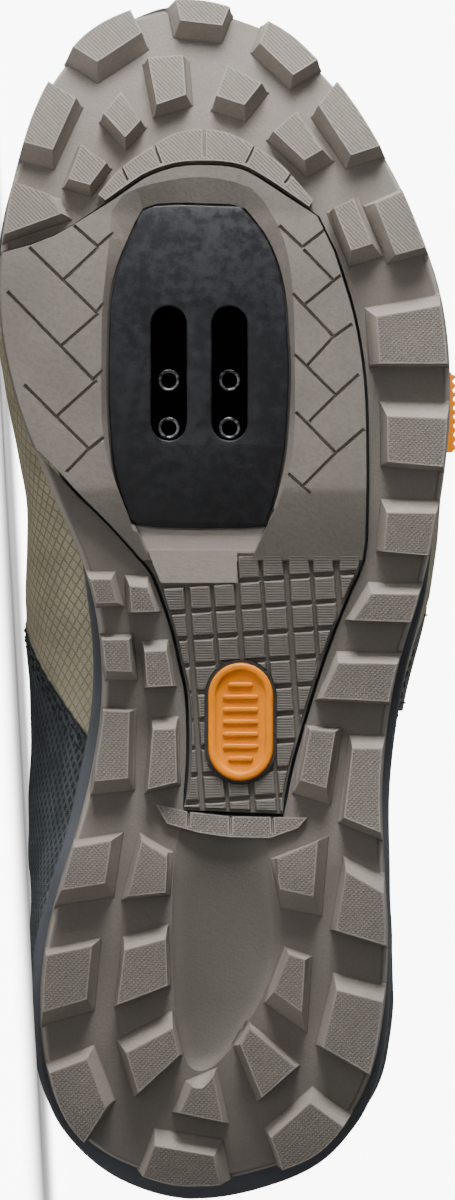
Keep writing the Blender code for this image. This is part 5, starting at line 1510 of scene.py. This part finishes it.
class SHOE_OT_insole(bpy.types.Operator):
    """Foam insole with a cloth top"""
    bl_idname = "shoe.insole"
    bl_label = "Insole"

    def execute(self, context):
        inset = UPPER_INSET * BALL_WIDTH + WALL * 1.35 + JOINT_GAP
        columns = 90
        loop = outline(columns, inset, True)
        count = len(loop)
        shares = np.linspace(0, 1, 15)
        rows = []
        for i in range(1, columns):
            a, b = loop[i], loop[(count - i) % count]
            line = a + (b - a) * shares[:, None]
            cup = 0.0012 * (np.abs(shares * 2 - 1) ** 4)
            level = footbed(line[:, 1]) + JOINT_GAP + INSOLE_THICKNESS + cup
            rows.append(np.column_stack([line, level]))
        rows = np.array(rows)
        top = loft("insole_cloth", rows, pattern=rows[..., :2])
        face_away(top)
        finish(top, "SOLIDIFY", thickness=INSOLE_THICKNESS, offset=-1.0, use_rim=True)
        settle(top, [mesh_surface("insole_top", (0.035, 0.036, 0.038), 0.0013)], ["insole"], flat=True,
               angle=50)
        return {"FINISHED"}


class SHOE_OT_tongue(bpy.types.Operator):
    """Padded tongue under the throat"""
    bl_idname = "shoe.tongue"
    bl_label = "Tongue"

    def execute(self, context):
        settings = context.scene.cycling_shoe
        around = np.linspace(0.90, 16 / 30, 50)
        rims = [upper_point(around, side, 1.0) - upper_normal(around, side, 1.0) * WALL
                for side in (1.0, -1.0)]
        ease_in = np.array([TONGUE_CLEARANCE, 0, 0])
        edges = [rims[0] - ease_in, rims[1] + ease_in]
        last = (edges[0][-1] + edges[1][-1]) / 2
        before = (edges[0][-2] + edges[1][-2]) / 2
        way = (last - before) / np.linalg.norm(last - before)
        across = np.linspace(-1, 1, 21)
        rows = []
        for a, b in zip(*edges):
            rows.append((a, b))
        for step in np.linspace(0, 1.5, 19)[1:]:
            narrow = np.interp(step, [0, 0.5, 1.0, 1.5], [1.0, 0.90, 0.86, 0.74])
            if step > 1.3:
                narrow *= math.sqrt(max(0.0, 1 - ((step - 1.3) / 0.22) ** 2)) * 0.35 + 0.65
            pair = []
            for end in (edges[0][-1], edges[1][-1]):
                spot = end + way * TONGUE_RISE * step
                spot[0] = last[0] + (end[0] - last[0]) * narrow
                pair.append(spot)
            rows.append(tuple(pair))
        grid, lengths = [], [0.0]
        for k, (a, b) in enumerate(rows):
            lift = (TONGUE_CROWN + WALL / 2) * (1 - across ** 2)
            quilt = 0.00035 * np.cos(across * np.pi * 3) ** 2
            line = a + (b - a) * ((across + 1) / 2)[:, None]
            line[:, 2] += lift - quilt * ease(k, 18, 26)
            grid.append(line)
            if k:
                lengths.append(lengths[-1] + np.linalg.norm(grid[-1][10] - grid[-2][10]))
        grid = np.array(grid)
        pattern = np.stack([np.broadcast_to(across * 0.011, grid.shape[:2]),
                            np.broadcast_to(np.array(lengths)[:, None], grid.shape[:2])], -1)
        tongue = loft("tongue_padded", grid, pattern=pattern)
        face_away(tongue)
        finish(tongue, "SOLIDIFY", thickness=TONGUE_THICKNESS, offset=-1.0, use_rim=True)
        round_edges(tongue, 0.0012, 60, 3)
        settle(tongue, [mesh_surface("tongue_mesh", (0.030, 0.034, 0.038), 0.0024)], ["tongue"], angle=60)
        return {"FINISHED"}


def strap_grid(place, width, low_medial, low_lateral, lift, tuck):
    """Inner face of a strap from its lateral end over the instep to its medial end.

    tuck is the depth by which the lateral end is sunk into the upper.
    """
    shares = np.linspace(-0.5, 0.5, 13)
    rows = []
    for side, levels in ((-1.0, np.linspace(low_lateral, 1.0, 40)), (1.0, np.linspace(1.0, low_medial, 30))):
        block = []
        for up in levels:
            sunk = tuck * (1 - ease(up, low_lateral, low_lateral + 0.30)) if side < 0 else 0.0
            block.append(upper_at(place + width * shares, side, up, lift - sunk))
        rows.append(np.array(block))
    lateral, medial = rows
    bridge = []
    for share in np.linspace(0, 1, 14)[1:-1]:
        line = lateral[-1] + (medial[0] - lateral[-1]) * share
        line[:, 2] += (TONGUE_CROWN + 3 * STRAP_EASE) * (1 - (2 * share - 1) ** 4)
        bridge.append(line)
    return np.concatenate([lateral, np.array(bridge), medial])


def make_strap(name, grid, surfaces, thread, node):
    """Thick strap with rounded edges and a row of stitches along each edge."""
    lengths = np.concatenate([[0], np.cumsum(np.linalg.norm(np.diff(grid[:, 6], axis=0), axis=1))])
    widths = np.concatenate([[0], np.cumsum(np.linalg.norm(np.diff(grid[20], axis=0), axis=1))])
    pattern = np.stack([np.broadcast_to(lengths[:, None], grid.shape[:2]),
                        np.broadcast_to(widths, grid.shape[:2])], -1)
    strap = loft(name, grid, pattern=pattern)
    face_away(strap, Vector((0.0, float(grid[..., 1].mean()), 0.045)))
    outs = np.empty(len(strap.data.vertices) * 3)
    strap.data.vertices.foreach_get("normal", outs)
    outs = outs.reshape(grid.shape)
    finish(strap, "SOLIDIFY", thickness=STRAP_THICKNESS, offset=1.0, use_rim=True)
    round_edges(strap, 0.0004, 60, 2)
    settle(strap, surfaces, [node], angle=55)
    rows = []
    for column in (1, 11):
        path = grid[1:-1, column] + outs[1:-1, column] * (STRAP_THICKNESS + 0.00005)
        rows.append(stitches(name + "_stitches", path, outs[1:-1, column]))
    rows = join(name + "_stitches", rows)
    settle(rows, [thread], angle=60)
    return strap


class SHOE_OT_straps(bpy.types.Operator):
    """Two straps over the instep"""
    bl_idname = "shoe.straps"
    bl_label = "Straps"

    def execute(self, context):
        settings = context.scene.cycling_shoe
        trim = tuple(settings.trim_colour)
        lift = JOINT_GAP + STRAP_EASE
        thread = thread_surface("strap_thread", (0.045, 0.046, 0.050))
        fore = strap_grid(FORE_STRAP_PLACE * SOLE_LENGTH, FORE_STRAP_WIDTH, 0.60, 0.22, lift, TAB_SINK)
        make_strap("forefoot_strap_web", fore, [webbing_surface("fore_webbing", trim)], thread,
                   "forefoot_strap")
        instep = strap_grid(INSTEP_STRAP_PLACE * SOLE_LENGTH, INSTEP_STRAP_WIDTH, 0.58, 0.16, lift,
                            INSTEP_SINK)
        make_strap("instep_strap_web", instep, [webbing_surface("instep_webbing", trim)], thread,
                   "instep_strap")
        return {"FINISHED"}


class SHOE_OT_tab(bpy.types.Operator):
    """Ribbed amber pull tab on the forefoot strap"""
    bl_idname = "shoe.tab"
    bl_label = "Pull Tab"

    def execute(self, context):
        settings = context.scene.cycling_shoe
        lift = JOINT_GAP + STRAP_EASE
        place = FORE_STRAP_PLACE * SOLE_LENGTH
        ends = [upper_at(place + FORE_STRAP_WIDTH * share, -1.0, 0.22, lift) for share in (-0.5, 0.5)]
        next_up = upper_at(place - FORE_STRAP_WIDTH * 0.25, -1.0, 0.22 + 0.78 / 12, lift)
        here = upper_at(place - FORE_STRAP_WIDTH * 0.25, -1.0, 0.22, lift)
        out = upper_normal(0.60, -1.0, 0.25)
        middle = (ends[0] + ends[1]) / 2 + out * (STRAP_THICKNESS - TAB_SINK)
        along = (ends[1] - ends[0]) / np.linalg.norm(ends[1] - ends[0])
        out = out - along * out.dot(along)
        out /= np.linalg.norm(out)
        reach = here - next_up
        reach = reach - along * reach.dot(along) - out * reach.dot(out)
        reach /= np.linalg.norm(reach)
        section = ((-0.55, 0.0), (0.45, 0.0), (0.45, 0.75), (0.40, 1.0), (-0.50, 1.0), (-0.55, 0.75))
        rows = []
        for share in np.linspace(0, 1, 91):
            thick = TAB_THICKNESS * (0.84 - 0.16 * math.cos(share * 18 * math.pi))
            if share < 0.03 or share > 0.97:
                thick *= 0.80
            centre = middle + along * (share - 0.5) * TAB_LENGTH
            rows.append([centre + reach * distance * TAB_REACH + out * (JOINT_GAP + thick * level)
                         for distance, level in section])
        piece = loft("pull_tab_amber", rows, closed=True, caps=True)
        # The tab glows a little: painted light on its face that turns away from the lamps.
        settle(piece, [amber_surface("amber_tab", settings, 0.3)], ["pull_tab"], angle=40)
        return {"FINISHED"}


def add_plane(name, size, location, turn=(0, 0, 0)):
    """Square plane with its place and turn applied."""
    bpy.ops.object.select_all(action="DESELECT")
    bpy.ops.mesh.primitive_plane_add(size=size, location=location, rotation=turn)
    bpy.ops.object.transform_apply(location=True, rotation=True, scale=True)
    plane = bpy.context.object
    plane.name = name
    return plane


def glowing_surface(name, grey, strength):
    """Matt grey that gives off white light."""
    return Surface(name, (grey, grey, grey), 0.9, emission_color=(1.0, 1.0, 1.0, 1.0),
                   emission_strength=strength)


class SHOE_OT_stage(bpy.types.Operator):
    """Pale floor, soft lights and the camera"""
    bl_idname = "shoe.stage"
    bl_label = "Stage"

    def execute(self, context):
        settings = context.scene.cycling_shoe
        floor = add_plane("floor", 20.0, (0, 0, 0))
        paper = glowing_surface("pale_floor", 0.86, 0.28)
        grain = paper.noise(paper.node("ShaderNodeTexCoord", output=3), 40.0, 3.0)
        floor.data.materials.append(paper.dress(
            base_color=paper.mix(grain, (0.85, 0.85, 0.85), (0.88, 0.88, 0.88))))
        world = bpy.data.worlds.new("soft_room")
        world.use_nodes = True
        world.node_tree.nodes["Background"].inputs[0].default_value = (1.0, 1.0, 1.0, 1.0)
        world.node_tree.nodes["Background"].inputs[1].default_value = 0.07
        context.scene.world = world
        # The screen behind the shoe and the haze over the floor are white to the camera and light nothing.
        screen = add_plane("light_screen", 22.0, (0, 9.9, 0), (math.pi / 2, 0, 0))
        screen.data.materials.append(glowing_surface("white_screen", 0.9, 9.0).material)
        far = add_plane("far_floor", 20.0, (0, 0, 0.0004))
        for plane in (screen, far):
            plane.visible_diffuse = False
            plane.visible_glossy = False
        far.visible_shadow = False
        haze = glowing_surface("floor_glow", 0.9, 9.0)
        x, y, _ = haze.node("ShaderNodeTexCoord", output=3).parts()
        far.data.materials.append(haze.dress(alpha=((x * x + y * y) ** 0.5).step(0.12, 0.60)))
        target = Vector((0.0, -0.05, 0.05))
        lights = (
            ("toe_light", (-0.64, -0.30, 0.10), settings.key_power, 0.28),
            ("front_light", (-0.2, -1.5, 0.6), settings.key_power * 0.22, 1.2),
            ("side_light", (-0.3, 0.3, 1.3), settings.key_power * 0.22, 0.8),
            ("back_light", (0.3, 1.2, 0.9), settings.key_power * 0.35, 1.0),
        )
        for name, spot, power, size in lights:
            light = bpy.data.lights.new(name, "AREA")
            light.energy = power
            light.size = size
            made = bpy.data.objects.new(name, light)
            context.scene.collection.objects.link(made)
            made.location = spot
            made.rotation_euler = (target - Vector(spot)).to_track_quat("-Z", "Y").to_euler()
        camera = bpy.data.cameras.new("camera")
        camera.sensor_fit = "VERTICAL"
        camera.sensor_height = 36.0
        distance = settings.camera_distance
        camera.lens = camera.sensor_height * distance / SOLE_LENGTH
        camera.clip_start = 0.05
        made = bpy.data.objects.new("camera", camera)
        context.scene.collection.objects.link(made)
        middle = SHOE @ Vector((0.0, VIEW_MIDDLE, 0.0))
        turn = SHOE.to_3x3()
        away = (turn @ Vector((0.0, VIEW_LEAN, -1.0))).normalized()
        spot = middle + away * distance
        spot.z = max(spot.z, CAMERA_LOWEST)
        look = (middle - spot).normalized()
        up = turn @ Vector((0, 1, 0))
        right = look.cross(up).normalized()
        up = right.cross(look)
        made.matrix_world = Matrix.Translation(spot) @ Matrix((right, up, -look)).transposed().to_4x4()
        context.scene.camera = made
        return {"FINISHED"}


class SHOE_PT_panel(bpy.types.Panel):
    """Settings and steps of the shoe"""
    bl_idname = "SHOE_PT_panel"
    bl_label = "Cycling Shoe"
    bl_space_type = "VIEW_3D"
    bl_region_type = "UI"
    bl_category = "Cycling Shoe"

    def draw(self, context):
        settings = context.scene.cycling_shoe
        for name in settings.bl_rna.properties.keys():
            if name not in ("rna_type", "name"):
                self.layout.prop(settings, name)
        for step in STEPS:
            self.layout.operator(step.bl_idname)


STEPS = (SHOE_OT_stage, SHOE_OT_outsole, SHOE_OT_insert, SHOE_OT_plate, SHOE_OT_nuts, SHOE_OT_badge,
         SHOE_OT_midsole, SHOE_OT_upper, SHOE_OT_insole, SHOE_OT_tongue, SHOE_OT_straps, SHOE_OT_tab)
CLASSES = (ShoeSettings, *STEPS, SHOE_PT_panel)


def register():
    for item in CLASSES:
        bpy.utils.register_class(item)
    bpy.types.Scene.cycling_shoe = PointerProperty(type=ShoeSettings)


def unregister():
    del bpy.types.Scene.cycling_shoe
    for item in reversed(CLASSES):
        bpy.utils.unregister_class(item)


def main():
    """Register the add-on and build the stage and every piece."""
    register()
    for step in STEPS:
        group, name = step.bl_idname.split(".")
        getattr(getattr(bpy.ops, group), name)()


if __name__ == "__main__":
    main()
